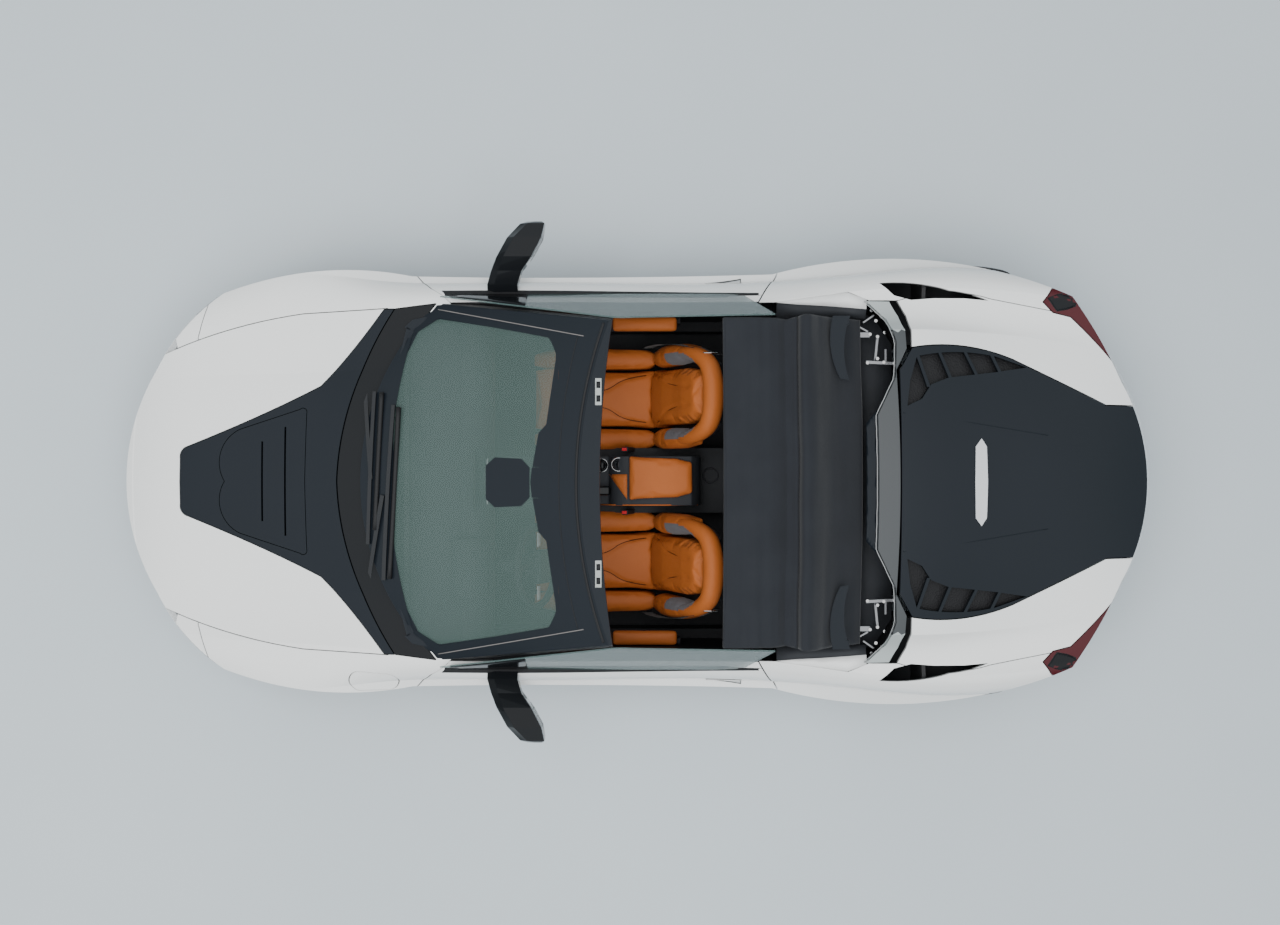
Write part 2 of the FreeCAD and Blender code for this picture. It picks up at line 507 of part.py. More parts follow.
rear_in = TRACK_REAR / 2 + TYRE_WIDTH_REAR / 2 * 0.80 - 12 - 62 - 8 - 34
links = []
for z in LINK_Z:
    eye = Part.makeCylinder(EYE_R, 2 * LINK_HALF, Vec(AXLE_FRONT, KINGPIN_Y, z - LINK_HALF))
    hole = Part.makeCylinder(KINGPIN_R + PIN_GAP, 2 * LINK_HALF, Vec(AXLE_FRONT, KINGPIN_Y, z - LINK_HALF))
    links.append(fuse(link(AXLE_FRONT, z, RAIL_Y[1], KINGPIN_Y, 110), eye).cut(hole))
    links.append(link(AXLE_REAR, z, RAIL_Y[1], rear_in, 110))
rear_carrier = carrier(*WHEELS[2][1:])
nodes["suspension_arms"] = Part.makeCompound(
    [part for one in (links[0], links[2], fuse(rear_carrier, links[1], links[3])) for part in
     (one, other_side(one))])

# Windscreen: a slab between an arc at the scuttle and an arc at the header
SCREEN_Z = (893.0, 1250.0)


def screen_profile(level, front, side_x, side_y, thick):
    low = (side_x, -side_y)
    return outline("xy", level, low, ((front, 0), (side_x, side_y)), (side_x - thick, side_y),
                   ((front - thick, 0), (side_x - thick, -side_y)))


def screen(grow, thick, drop):
    bottom = screen_profile(SCREEN_Z[0], 1193 - drop, 860 - drop, 772 + grow, thick)
    top = screen_profile(SCREEN_Z[1], 222 - drop, 108 - drop, 664 + grow, thick)
    return Part.makeLoft([bottom, top], True, True)


frame_slab = screen(0, 96, 0)
SEE = [(1062, 0), ((1040, 270), (966, 633)), (843, 706), (362, 603), ((334, 545), (340, 340)), (361, 0)]
opening = half_region(SEE, low=800)
header = prism("xy", 1205, 1258, (108, -664), ((228, 0), (108, 664)), (92, 660), ((145, 0), (92, -660)))
screen_frame = fuse(frame_slab.cut(opening), header)
glass_room = screen(0, 21, 6).common(half_region(SEE, low=800, grow=25))
body_near = envelope(-SEAT_GAP)
lid_bar = half_region(LID_BAR, low=900).common(envelope(-7).cut(body_near))
windscreen_frame = screen_frame.cut(glass_room).cut(body_near.cut(cabin))
windscreen_glass = screen(0, 18, 7).common(half_region(SEE, low=800, grow=24))
mirror_plan = [(636, 0), (636, 60), (585, 108), (468, 100), (425, 50), (425, 0)]
mirror_foot = screen(0, 62, 26).common(half_region(mirror_plan, low=800))
mirror_body = rounded(block(404, 432, -115, 115, 1030, 1092), 9)
mirror_stalk = Part.makeCylinder(9, 90, Vec(426, 0, 1062), Vec(0.62, 0, 1))
interior_mirror = fuse(mirror_body, mirror_stalk, mirror_foot)


# Wipers lie on the screen, 0.3 mm clear of it
WIPER_STRIPS = [
    [(1034, -330), (1050, -330), (1098, 425), (1080, 425)],
    [(1122, -390), (1138, -390), (1166, 270), (1150, 270)],
    [(1170, -480), (1188, -474), (1150, -10), (1134, -14)],
    [(1080, 60), (1098, 56), (1176, 480), (1160, 486)],
]
wiper_slab = screen(0, 41, -42)
wipers = Part.makeCompound([wiper_slab.common(prism("xy", 850, 1300, *s)) for s in WIPER_STRIPS])

# Cabin
DASH = [(985.7, 560), (985.7, 835), ((880, 866), (760, 856)), ((640, 820), (622, 760)),
        ((640, 680), (720, 600)), (800, 560)]
CONSOLE = [(800, 431), (800, 600), (640, 640), ((480, 600), (360, 560)), (120, 560), ((60, 640), (20, 640)),
           (-250, 640), ((-275, 600), (-280, 431))]
COLUMN_AT = Vec(440, 377, 735)
COLUMN_WAY = Vec(-math.cos(math.radians(24)), 0, math.sin(math.radians(24)))
COLUMN_R = 20.0
binnacle = prism("xz", 250, 505, (800, 840), (800, 890), ((690, 905), (640, 850)), (700, 800))
dash = fuse(prism("xz", -690, 690, *DASH).common(body_seat), binnacle)
column = Part.makeCylinder(COLUMN_R, 300, COLUMN_AT - COLUMN_WAY * 300, COLUMN_WAY)
stop_ring = Part.makeCylinder(34, 240, COLUMN_AT - COLUMN_WAY * 300, COLUMN_WAY)
dash = fuse(dash.cut(Part.makeCylinder(40, 1, COLUMN_AT, COLUMN_WAY)), column, stop_ring)
console = rounded(prism("xz", -110, 110, *CONSOLE), 12, lambda e: e.Length > 219 and abs(e.Length - 220) < 1)


console = console.cut(dash)


def steering():
    grip = [(178 + 16 * math.cos(math.radians(a)), 16 * math.sin(math.radians(a))) for a in range(22, 360, 45)]
    rim_ring = Part.Face(outline("xz", 0, *grip)).revolve(Vec(0, 0, 0), Vec(0, 0, 1), 360)
    hub = Part.makeCylinder(52, 56, Vec(0, 0, -40), Vec(0, 0, 1))
    spokes = [block(-176, 176, -16, 16, -10, 6), block(-176, 0, -12, 12, -10, 6)]
    wheel = fuse(rim_ring, hub, *spokes)
    wheel = wheel.cut(Part.makeCylinder(COLUMN_R + PIN_GAP, 48, Vec(0, 0, -48), Vec(0, 0, 1)))
    wheel.rotate(Vec(0, 0, 0), Vec(0, 1, 0), -66)
    wheel.translate(COLUMN_AT)
    return wheel


SEAT_Y = 377.0
CUSHION = [(-95, 300), (-95, 400), ((150, 420), (400, 470)), ((440, 450), (440, 400)), (400, 230), (-60, 230)]
BACK = [(-100, 300), (-96, 405), ((-190, 700), (-262, 905)), ((-290, 1000), (-335, 1010)),
        ((-380, 1005), (-385, 960)), ((-300, 640), (-230, 300))]


def seat_cushion():
    pad = prism("xz", -160, 160, *CUSHION)
    bolster = prism("xz", 160, 226, (-95, 250), (-95, 450), ((150, 490), (420, 505)), (440, 300), (380, 230))
    base = block(-40, 380, -150, 150, FLOOR_Z + FLOOR_THICK, 231)
    return fuse(pad, bolster, other_side(bolster), base)


def seat_back():
    pad = prism("xz", -155, 155, *BACK)
    wing = prism("xz", 155, 226, (-100, 330), (-60, 460), ((-130, 640), (-210, 850)), (-300, 900), (-240, 330))
    head = prism("xz", -135, 135, (-262, 905), ((-280, 985), (-335, 1010)), ((-380, 1005), (-385, 960)))
    return fuse(pad, wing, other_side(wing), head).cut(seat_cushion())


def pair(maker):
    one = maker()
    one.translate(Vec(0, SEAT_Y, 0))
    return both(one)


# Door fittings: trim, glass, mirror and the hinge arm
HINGE_AT = Vec(975, 840, 860)
HINGE_TILT = 45.0
HINGE_WAY = Vec(0, math.sin(math.radians(HINGE_TILT)), -math.cos(math.radians(HINGE_TILT)))
KNUCKLE_AT = Vec(925, 770, 640)
door_arm = Part.makeCylinder(20, 60, KNUCKLE_AT, HINGE_WAY)
lug_end = KNUCKLE_AT - HINGE_WAY * SEAT_GAP
body_lug = Part.makeCylinder(20, 44, lug_end, -HINGE_WAY)
body_lug = fuse(body_lug, block(925, BULKHEAD_FRONT - BULKHEAD_THICK, 728, 750, 650, 690))
TRIM_IN = 742.0
door_trim = wedge.common(block(-520, 850, TRIM_IN, DOOR_IN, 352, 882))
door_trim = door_trim.cut(block(620, 900, TRIM_IN - 1, DOOR_IN + 1, 866, 900))
trim_pull = block(-200, 420, TRIM_IN - 36, TRIM_IN, 560, 616)
door_trim = fuse(door_trim, rounded(trim_pull, 12, lambda e: abs(e.Length - 620) < 1))
GLASS = [(842, 934), (100, 1238), ((60, 1244), (20, 1240)), (-575, 1200), (-470, 934)]
GLASS_LEAN = 0.387
side_glass = prism("xz", 0, 6, *GLASS)
lean = FreeCAD.Matrix(1, 0, 0, 0, 0, 1, -GLASS_LEAN, 797 + GLASS_LEAN * 925, 0, 0, 1, 0, 0, 0, 0, 1)
side_glass = side_glass.transformGeometry(lean)
glass_foot = prism("xz", 0, 6, (800, 900), (800, 934), (-440, 934), (-440, 900)).transformGeometry(lean)
side_glass = fuse(side_glass, glass_foot).cut(body_outer)
# columns: y, x front, x rear, z low, z high
MIRROR = [(800, 650, 510, 840, 885), (850, 650, 510, 868, 925), (905, 630, 490, 905, 960),
          (960, 604, 445, 915, 1005), (1040, 556, 400, 930, 1032), (1100, 500, 388, 955, 1015),
          (1109, 470, 400, 970, 1000)]
mirror_wires = []
for y, xf, xr, z0, z1 in MIRROR:
    nose = (z1 - z0) * 0.3
    mirror_wires.append(outline("xz", y, (xr, z0), (xf - 40, z0), (xf - 8, z0 + nose), (xf - 8, z1 - nose),
                                (xf - 40, z1), (xr, z1)))
door_mirror = Part.makeLoft(mirror_wires, True, True).cut(body_outer)

# Charge flap: an oval in the left front fender, square to the skin there
FLAP_AT = Vec(1150, 868, 796)
FLAP_TILT = 50.0
FLAP_LENGTH = 214.0
FLAP_WIDTH = 96.0
FLAP_THICK = 9.0


def flap_plug(grow):
    a = FLAP_LENGTH / 2 + grow
    b = FLAP_WIDTH / 2 + grow
    r = b
    plug = prism("xy", -90, 120, (a - r, -b), ((a, 0), (a - r, b)), (r - a, b), ((-a, 0), (r - a, -b)))
    plug.rotate(Vec(0, 0, 0), Vec(1, 0, 0), -FLAP_TILT)
    plug.translate(FLAP_AT)
    return plug


flap_skin = body_outer.cut(envelope(FLAP_THICK))
charge_flap = flap_skin.common(flap_plug(0))
front_fenders = front_fenders.cut(flap_plug(SEAM))


def in_flap_frame(shape):
    shape.rotate(Vec(0, 0, 0), Vec(1, 0, 0), -FLAP_TILT)
    shape.translate(FLAP_AT)
    return shape


flap_arm = in_flap_frame(block(60, 84, -6, 6, -40, 30)).cut(body_outer.cut(envelope(FLAP_THICK - 1)))
flap_arm = min(flap_arm.Solids, key=lambda one: one.CenterOfMass.z)
charge_flap = fuse(charge_flap, flap_arm)
flap_lug = in_flap_frame(fuse(block(56, 90, 6 + SEAT_GAP, 16, -44, -24), block(90, 150, 6 + SEAT_GAP, 16, -44, 20)))
flap_lug = flap_lug.common(envelope(PANEL - 2))
front_fenders = front_fenders.fuse(flap_lug)

# Folding top: cloth over bows, its legs on the shelf behind the seats
# columns: x, height at the middle, height at the side, half width
CLOTH = [(-362, 1300, 1226, 676), (-520, 1303, 1222, 672), (-630, 1297, 1210, 664), (-690, 1326, 1236, 656),
         (-745, 1278, 1190, 664), (-810, 1180, 1110, 676), (-880, 1110, 1050, 680), (-945, 1060, 1010, 680)]
CLOTH_THICK = 9.0


def cloth_section(row, drop=0.0, thick=CLOTH_THICK):
    x, zm, zs, hw = row
    zm, zs = zm - drop, zs - drop
    return outline("yz", x, (-hw, zs), ((0, zm), (hw, zs)), (hw, zs - thick), ((0, zm - thick), (-hw, zs - thick)))


soft_top_cloth = Part.makeLoft([cloth_section(row) for row in CLOTH], True, True)
under_cloth = []
for x0, x1, depth in ((-392, -372, 22), (-700, -680, 26), (-890, -872, 20)):
    lower = Part.makeLoft([cloth_section(row, CLOTH_THICK, depth) for row in CLOTH], True, True)
    under_cloth.append(lower.common(block(x0, x1, -640, 640, 900, 1400)))


def strut(x0, z0, x1, z1, y, wide=26.0, deep=14.0):
    length = math.hypot(x1 - x0, z1 - z0)
    bar = block(0, length, y - deep / 2, y + deep / 2, -wide / 2, wide / 2)
    bar.rotate(Vec(0, 0, 0), Vec(0, 1, 0), -math.degrees(math.atan2(z1 - z0, x1 - x0)))
    bar.translate(Vec(x0, 0, z0))
    return bar


BLADE = [(-816, 690), ((-806, 560), (-846, 430)), (-884, 424), ((-862, 560), (-888, 690))]
legs = [strut(-690, 900, -384, 1196, 628), strut(-700, 900, -690, 1200, 628), strut(-880, 900, -880, 1030, 628),
        block(-900, -668, 612, 640, 842, 910)]
blade = prism("xy", 1170, 1176, *BLADE)
blade_post = fuse(block(-884, -862, 655, 680, 842, 1171), block(-900, -862, 612, 680, 842, 866))
legs_left = fuse(*legs)
blade_left = fuse(blade, blade_post)
blade_left = blade_left.cut(Part.makeLoft([cloth_section(row, -6, 60) for row in CLOTH], True, True))
top_frame = fuse(legs_left, other_side(legs_left), *under_cloth)
top_frame = top_frame.cut(soft_top_cloth)

# Dark valance at the front, diffuser at the rear, and the places for a number plate and the towing eye
VALANCE_Z = 212.0
valance = bumper.common(block(1900, 2500, -900, 900, 0, VALANCE_Z))
bumper = bumper.cut(block(1900, 2500, -900, 900, 0, VALANCE_Z + SEAT_GAP))
DIFFUSER_Z = 300.0
diffuser = rear_bumper.common(block(-2500, -1900, -640, 640, 0, DIFFUSER_Z))
rear_bumper = rear_bumper.cut(block(-2500, -1900, -640 - SEAT_GAP, 640 + SEAT_GAP, 0, DIFFUSER_Z + SEAT_GAP))
PLATE_HOLE_R = 3.0
PLATE_SPACING = 290.0
PLATE_Z = 560.0
for y in (-PLATE_SPACING / 2, PLATE_SPACING / 2):
    rear_bumper = rear_bumper.cut(Part.makeCylinder(PLATE_HOLE_R, 500, Vec(-2500, y, PLATE_Z), Vec(1, 0, 0)))
TOW_R = 11.0
TOW_Y = 320.0
TOW_Z = 475.0
bumper = bumper.cut(Part.makeCylinder(22, 700, Vec(2000, TOW_Y, TOW_Z), Vec(1, 0, 0)))
TOW_BASE = 2230.0
TOW_MOUTH = 2270.0
front_frame = front_frame.cut(Part.makeCylinder(TOW_R, 400, Vec(TOW_BASE, TOW_Y, TOW_Z), Vec(1, 0, 0)))
front_frame = front_frame.cut(Part.makeCylinder(26, 400, Vec(TOW_MOUTH, TOW_Y, TOW_Z), Vec(1, 0, 0)))

# Jacking pads under the sills, let into the tray
PAD = (110.0, 70.0)
for x in (780.0, -430.0):
    for y in (-780.0, 780.0):
        pad = block(x - PAD[0] / 2, x + PAD[0] / 2, y - PAD[1] / 2, y + PAD[1] / 2, TRAY_Z, FLOOR_Z)
        room = block(x - PAD[0] / 2 - 3, x + PAD[0] / 2 + 3, y - PAD[1] / 2 - 3, y + PAD[1] / 2 + 3, 100, FLOOR_Z)
        undertray = undertray.cut(room)
        tub = tub.fuse(pad)
tub = fuse(tub, body_lug, other_side(body_lug))

nodes.update({
    "floor_tub": tub, "undertray": undertray, "front_frame": front_frame, "rear_frame": rear_frame,
    "front_bumper": bumper, "grille": grille, "head_lamps": head_lamps, "hood": hood,
    "hood_band": Part.makeCompound([*hood_band.Solids, *hood_vent.Solids, *plenum.Solids]),
    "front_fenders": front_fenders, "side_sills": sills, "boot_lid": boot_lid, "tail_lamps": tail_lamps,
    "rear_bumper": rear_bumper, "rear_deck": rear_deck, "rear_fenders": rear_fenders,
    "top_cover": top_cover, "battery_pack": battery, "engine_block": ENGINE, "diffuser": diffuser,
    "windscreen_frame": windscreen_frame, "windscreen_glass": windscreen_glass,
    "interior_mirror": interior_mirror, "wipers": wipers, "dashboard": dash, "centre_console": console,
    "steering_wheel": steering(), "seat_cushions": pair(seat_cushion), "seat_backs": pair(seat_back),
    "soft_top_cloth": soft_top_cloth, "soft_top_frame": Part.makeCompound(
        [*top_frame.Solids, *blade_left.Solids, *other_side(blade_left).Solids]),
    "charge_flap": charge_flap, "lid_bar": lid_bar, "front_valance": valance, "wheel_liners": Part.makeCompound(liners),
})
for side, turn in (("left", lambda s: s), ("right", other_side)):
    nodes["door_" + side] = turn(fuse(door_left, door_arm))
    nodes["door_trim_" + side] = turn(door_trim)
    nodes["side_glass_" + side] = turn(side_glass)
    nodes["door_mirror_" + side] = turn(door_mirror)
CRUMB = 3000.0
for name, shape in nodes.items():
    kept = [s for s in shape.Solids if s.Volume > CRUMB]
    solid = kept[0] if len(kept) == 1 else Part.makeCompound(kept)
    print(name, shape.isValid(), [round(s.Volume / 1e3, 1) for s in shape.Solids])
    solid.exportStep("parts/" + name + ".step")
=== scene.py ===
# %% [markdown]
# This notebook dresses a two-seat roadster. The car's panels, wheels and frames come ready
# from its CAD model, each piece in its real place. What is still missing is what makes
# them look real: paint, leather, cloth, glass, rubber, and the many small fittings.
# Everything is in metres. +X is forward, +Y is the car's left and +Z is up.

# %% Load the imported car
import math

import bmesh
import bpy
from mathutils import Matrix, Vector, noise
from mathutils.bvhtree import BVHTree


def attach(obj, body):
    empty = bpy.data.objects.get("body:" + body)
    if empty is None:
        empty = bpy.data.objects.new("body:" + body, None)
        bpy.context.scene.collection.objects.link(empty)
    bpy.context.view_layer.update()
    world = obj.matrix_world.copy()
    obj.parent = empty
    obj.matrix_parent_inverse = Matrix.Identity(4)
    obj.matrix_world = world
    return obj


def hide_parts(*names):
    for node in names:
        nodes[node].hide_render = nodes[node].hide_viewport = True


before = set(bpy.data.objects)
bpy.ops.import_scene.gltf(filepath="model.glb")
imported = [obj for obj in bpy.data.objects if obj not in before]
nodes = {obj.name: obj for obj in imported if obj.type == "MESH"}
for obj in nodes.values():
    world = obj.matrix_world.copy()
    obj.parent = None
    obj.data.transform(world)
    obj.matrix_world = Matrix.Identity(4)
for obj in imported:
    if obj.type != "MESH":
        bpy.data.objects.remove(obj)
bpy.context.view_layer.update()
SIDES = (("left", 1), ("right", -1))

# %% [markdown]
# The photograph looks straight down from about seven metres. A lens of 41.2 mm on a
# 36 mm sensor gives its angle of view. The picture's left is the car's nose and its
# lower edge is the car's left, so the camera is turned half round about Z.

# %% Camera
PHOTO_WIDTH = 1280
FOCAL_PIXELS = 1464
SENSOR = 36.0
CAMERA_AT = (-0.018, -0.083, 7.23)


def make_camera():
    data = bpy.data.cameras.new("overhead")
    data.sensor_width = SENSOR
    data.lens = FOCAL_PIXELS / PHOTO_WIDTH * SENSOR
    camera = bpy.data.objects.new("overhead", data)
    camera.location = CAMERA_AT
    camera.rotation_euler = (0, 0, math.pi)
    bpy.context.collection.objects.link(camera)
    bpy.context.scene.camera = camera
    return camera


camera = make_camera()
print("lens:", round(camera.data.lens, 1), "mm")

# %% [markdown]
# A material is a small network of nodes. Written node by node it is hard to read, so two
# helpers turn it into ordinary expressions. A Wire is one output socket, and adding or
# multiplying wires adds the Math nodes for it. A Finish is one material, whose add method
# makes any other node from its type, its settings and what its sockets get.

# %% Shader maths
class Wire:
    def __init__(self, finish, socket):
        self.finish = finish
        self.socket = socket

    def math(self, operation, *others):
        values = {i: v for i, v in enumerate((self, *others))}
        return self.finish.add("ShaderNodeMath", {"operation": operation}, values)

    def __add__(self, other):
        return self.math("ADD", other)

    def __mul__(self, other):
        return self.math("MULTIPLY", other)

    def clamp(self):
        return self.finish.add("ShaderNodeClamp", {}, {"Value": self})


class Finish:
    def __init__(self, name, **plain):
        self.material = bpy.data.materials.new(name)
        self.material.use_nodes = True
        self.tree = self.material.node_tree
        self.shader = self.tree.nodes["Principled BSDF"]
        for socket, value in plain.items():
            self.shader.inputs[socket.replace("_", " ")].default_value = value

    def add(self, kind, settings=None, values=None, out=0):
        node = self.tree.nodes.new(kind)
        for key, value in (settings or {}).items():
            setattr(node, key, value)
        for key, value in (values or {}).items():
            self.feed(node.inputs[key], value)
        return Wire(self, node.outputs[out])

    def feed(self, socket, value):
        if isinstance(value, Wire):
            self.tree.links.new(value.socket, socket)
        elif hasattr(value, "__len__") and len(value) == 3 and len(socket.default_value) == 4:
            socket.default_value = (*value, 1)
        else:
            socket.default_value = value

    def give(self, socket, value):
        self.feed(self.shader.inputs[socket], value)

    def place(self):
        return self.add("ShaderNodeTexCoord", {}, {}, out="Object")

    def noise(self, scale, detail, rough=0.5):
        values = {"Vector": self.place(), "Scale": scale, "Detail": detail, "Roughness": rough}
        return self.add("ShaderNodeTexNoise", {}, values)

    def cells(self, scale, feature="F1"):
        values = {"Vector": self.place(), "Scale": scale}
        return self.add("ShaderNodeTexVoronoi", {"feature": feature}, values)

    def mix(self, amount, first, second):
        return self.add("ShaderNodeMix", {"data_type": "RGBA"}, {0: amount, 6: first, 7: second}, out=2)

    def bump(self, height, depth, strength):
        values = {"Height": height, "Distance": depth, "Strength": strength}
        self.give("Normal", self.add("ShaderNodeBump", {}, values))


print("shader helpers ready")

# %% [markdown]
# Car paint is a coloured layer under clear lacquer. The lacquer is the Coat, which stays
# mirror-smooth, and the colour below it holds fine mica flakes. The flakes are cells about
# a third of a millimetre wide that tilt the normal a little, so that the white glitters
# softly and never looks like plain plastic. The blacks mirror less, so that a bright sky
# doesn't turn them grey.

# %% Paints
def paint(name, colour, shade, flake, rough):
    finish = Finish(name, Roughness=rough, Coat_Weight=1.0, Coat_Roughness=0.03)
    drift = finish.noise(1.3, 2.0)
    finish.give("Base Color", finish.mix(drift, colour, shade))
    flakes = finish.cells(FLAKE_CELLS)
    finish.bump(flakes, FLAKE_DEPTH, flake)
    return finish.material


FLAKE_CELLS = 2600.0
FLAKE_DEPTH = 0.0001
pearl_white = paint("pearl_white", (0.83, 0.84, 0.835), (0.79, 0.805, 0.80), 0.05, 0.30)
satin_black = paint("satin_black", (0.009, 0.0125, 0.0175), (0.006, 0.009, 0.013), 0.04, 0.40)
gloss_black = paint("gloss_black", (0.008, 0.009, 0.011), (0.006, 0.007, 0.008), 0.0, 0.20)
cover_black = paint("cover_black", (0.050, 0.056, 0.060), (0.040, 0.045, 0.049), 0.04, 0.38)
# The humps' white paint is greyed down here as painted shade for faces turned away from the light.
hump_white = paint("hump_white", (0.40, 0.44, 0.44), (0.33, 0.37, 0.37), 0.05, 0.35)
bar_silver = paint("bar_silver", (0.62, 0.63, 0.65), (0.55, 0.56, 0.58), 0.1, 0.25)
LESS_MIRROR = ((satin_black, 0.18, 0.12, 0.28), (gloss_black, 0.45, 0.02, 0.12))
for material, coat, blur, mirror in LESS_MIRROR:
    sockets = material.node_tree.nodes["Principled BSDF"].inputs
    sockets["Coat Weight"].default_value = coat
    sockets["Coat Roughness"].default_value = blur
    sockets["Specular IOR Level"].default_value = mirror
print("paints:", pearl_white.name, satin_black.name, gloss_black.name, bar_silver.name)

# %% [markdown]
# Hard plastics and rubbers differ mostly in their surface. Moulded trim has a pebbled
# grain from an etched mould, rubber is dustier, and both grow a little lighter where the
# grain stands up. One function covers them, with the grain's size as a number.

# %% Plastics, rubber and metals
def moulded(name, colour, grain, depth, rough, metallic=0.0):
    finish = Finish(name, Metallic=metallic)
    pebbles = finish.cells(grain, "SMOOTH_F1")
    dust = finish.noise(9.0, 4.0)
    light = tuple(min(1.0, c * 1.35 + 0.004) for c in colour)
    finish.give("Base Color", finish.mix((dust * 0.7 + pebbles * 0.3).clamp(), colour, light))
    finish.give("Roughness", (dust * 0.16 + (rough - 0.08)).clamp())
    finish.bump(pebbles, depth, 0.6)
    return finish.material


moulded_black = moulded("moulded_black", (0.016, 0.017, 0.019), 900.0, 0.0003, 0.55)
soft_trim = moulded("soft_trim", (0.022, 0.024, 0.028), 1400.0, 0.0003, 0.62)
light_trim = moulded("light_trim", (0.30, 0.32, 0.31), 1400.0, 0.0003, 0.60)
tyre_rubber = moulded("tyre_rubber", (0.018, 0.018, 0.019), 500.0, 0.0002, 0.72)
seal_rubber = moulded("seal_rubber", (0.010, 0.010, 0.011), 700.0, 0.0001, 0.50)
cast_alloy = moulded("cast_alloy", (0.36, 0.37, 0.39), 420.0, 0.0004, 0.42, 1.0)
dark_alloy = moulded("dark_alloy", (0.060, 0.063, 0.068), 900.0, 0.0001, 0.34, 0.8)
bright_alloy = moulded("bright_alloy", (0.62, 0.63, 0.65), 2600.0, 0.00005, 0.22, 1.0)
satin_steel = moulded("satin_steel", (0.42, 0.43, 0.45), 2000.0, 0.0001, 0.30, 1.0)
grey_bracket = moulded("grey_bracket", (0.085, 0.095, 0.105), 1200.0, 0.0001, 0.42, 0.4)
chrome = moulded("chrome", (0.82, 0.83, 0.84), 3000.0, 0.00002, 0.10, 1.0)
iron = moulded("iron", (0.20, 0.19, 0.18), 800.0, 0.0001, 0.38, 1.0)
red_plastic = moulded("red_plastic", (0.42, 0.015, 0.02), 1500.0, 0.0001, 0.35)
frame_black = moulded("frame_black", (0.012, 0.012, 0.013), 500.0, 0.0001, 0.45)
vent_mesh = moulded("vent_mesh", (0.007, 0.007, 0.008), 160.0, 0.004, 0.60)
# This trim is pale as a painted highlight, for the light caught along the edge of each pillar.
pillar_trim = moulded("pillar_trim", (0.16, 0.15, 0.145), 1500.0, 0.0001, 0.40)
print("hard finishes:", len(bpy.data.materials))

# %% [markdown]
# Leather has three scales of detail. Its grain is made of small rounded cells, wrinkles
# cross it a few centimetres apart, and its dye varies slowly over a hide. Adding the three
# as one height keeps them in step, and the dye is darker in the grain's valleys.

# %% Leather and fabric
def leather(name, colour, dark, gloss):
    finish = Finish(name, Specular_IOR_Level=0.4)
    grain = finish.cells(520.0, "SMOOTH_F1")
    creases = finish.noise(38.0, 5.0, 0.6)
    dye = finish.noise(5.0, 3.0)
    finish.give("Base Color", finish.mix((dye * 0.6 + grain * 0.4).clamp(), colour, dark))
    finish.give("Roughness", (grain * 0.10 + creases * 0.12 + gloss).clamp())
    finish.bump(grain * 0.4 + creases * 0.6, 0.0012, 0.55)
    return finish.material


def woven(name, colour, light, pitch, depth):
    finish = Finish(name, Roughness=0.9, Sheen_Weight=0.10, Sheen_Roughness=0.5, Specular_IOR_Level=0.3)
    turn = math.pi / 4
    place = finish.add("ShaderNodeMapping", {}, {"Vector": finish.place(), "Rotation": (0, 0, turn)})
    settings = {"wave_type": "BANDS", "wave_profile": "SIN"}
    warp = finish.add("ShaderNodeTexWave", {**settings, "bands_direction": "X"},
                      {"Vector": place, "Scale": 0.31 / pitch, "Distortion": 0.3})
    weft = finish.add("ShaderNodeTexWave", {**settings, "bands_direction": "Y"},
                      {"Vector": place, "Scale": 0.31 / pitch, "Distortion": 0.3})
    height = warp * 0.5 + weft * 0.5
    fade = finish.noise(6.0, 4.0)
    finish.give("Base Color", finish.mix((height * 0.45 + fade * 0.55).clamp(), colour, light))
    finish.bump(height, depth, 0.5)
    return finish.material


tan_leather = leather("tan_leather", (0.47, 0.135, 0.030), (0.33, 0.085, 0.018), 0.33)
dark_leather = leather("dark_leather", (0.020, 0.021, 0.024), (0.012, 0.012, 0.014), 0.42)
seam_leather = leather("seam_leather", (0.085, 0.022, 0.008), (0.05, 0.014, 0.006), 0.5)
grey_fabric = woven("grey_fabric", (0.085, 0.083, 0.090), (0.13, 0.125, 0.135), 0.0016, 0.0003)
top_cloth = woven("top_cloth", (0.012, 0.013, 0.016), (0.026, 0.029, 0.035), 0.0013, 0.0003)
webbing = woven("webbing", (0.010, 0.010, 0.011), (0.022, 0.022, 0.024), 0.0011, 0.0002)
lining_cloth = woven("lining_cloth", (0.008, 0.008, 0.009), (0.014, 0.014, 0.015), 0.002, 0.0004)
print("soft finishes ready")

# %% [markdown]
# Window glass lets most light through and mirrors some of it. A refracting shader would
# keep the sun out of the cabin, because light rays don't bend round to the lamps in a
# path tracer, so the pane is made part transparent with a green tint instead. The
# lamps use clearer and redder versions of the same idea.

# %% Glass
def glazing(name, tint, alpha, rough=0.02):
    finish = Finish(name, Base_Color=(*tint, 1), Roughness=rough, Coat_Weight=0.5, Coat_Roughness=0.01,
                    Specular_IOR_Level=0.35)
    veil = finish.noise(3.0, 2.0)
    finish.give("Alpha", (veil * 0.06 + (alpha - 0.03)).clamp())
    return finish.material


screen_glass = glazing("screen_glass", (0.115, 0.180, 0.165), 0.28)
door_glass = glazing("door_glass", (0.09, 0.15, 0.145), 0.52)
lamp_lens = glazing("lamp_lens", (0.55, 0.58, 0.60), 0.28)
red_lens = glazing("red_lens", (0.060, 0.002, 0.006), 0.97)
mirror = Finish("mirror_glass", Base_Color=(0.75, 0.78, 0.80, 1), Metallic=1.0, Roughness=0.03)
mirror_glass = mirror.material
display_black = glazing("display_black", (0.004, 0.005, 0.006), 1.0, 0.08)
print("glass ready")

# %% [markdown]
# Every CAD piece gets the finish of the real panel. The list goes node by node, so that
# a missing name would show at once as a piece with no finish.

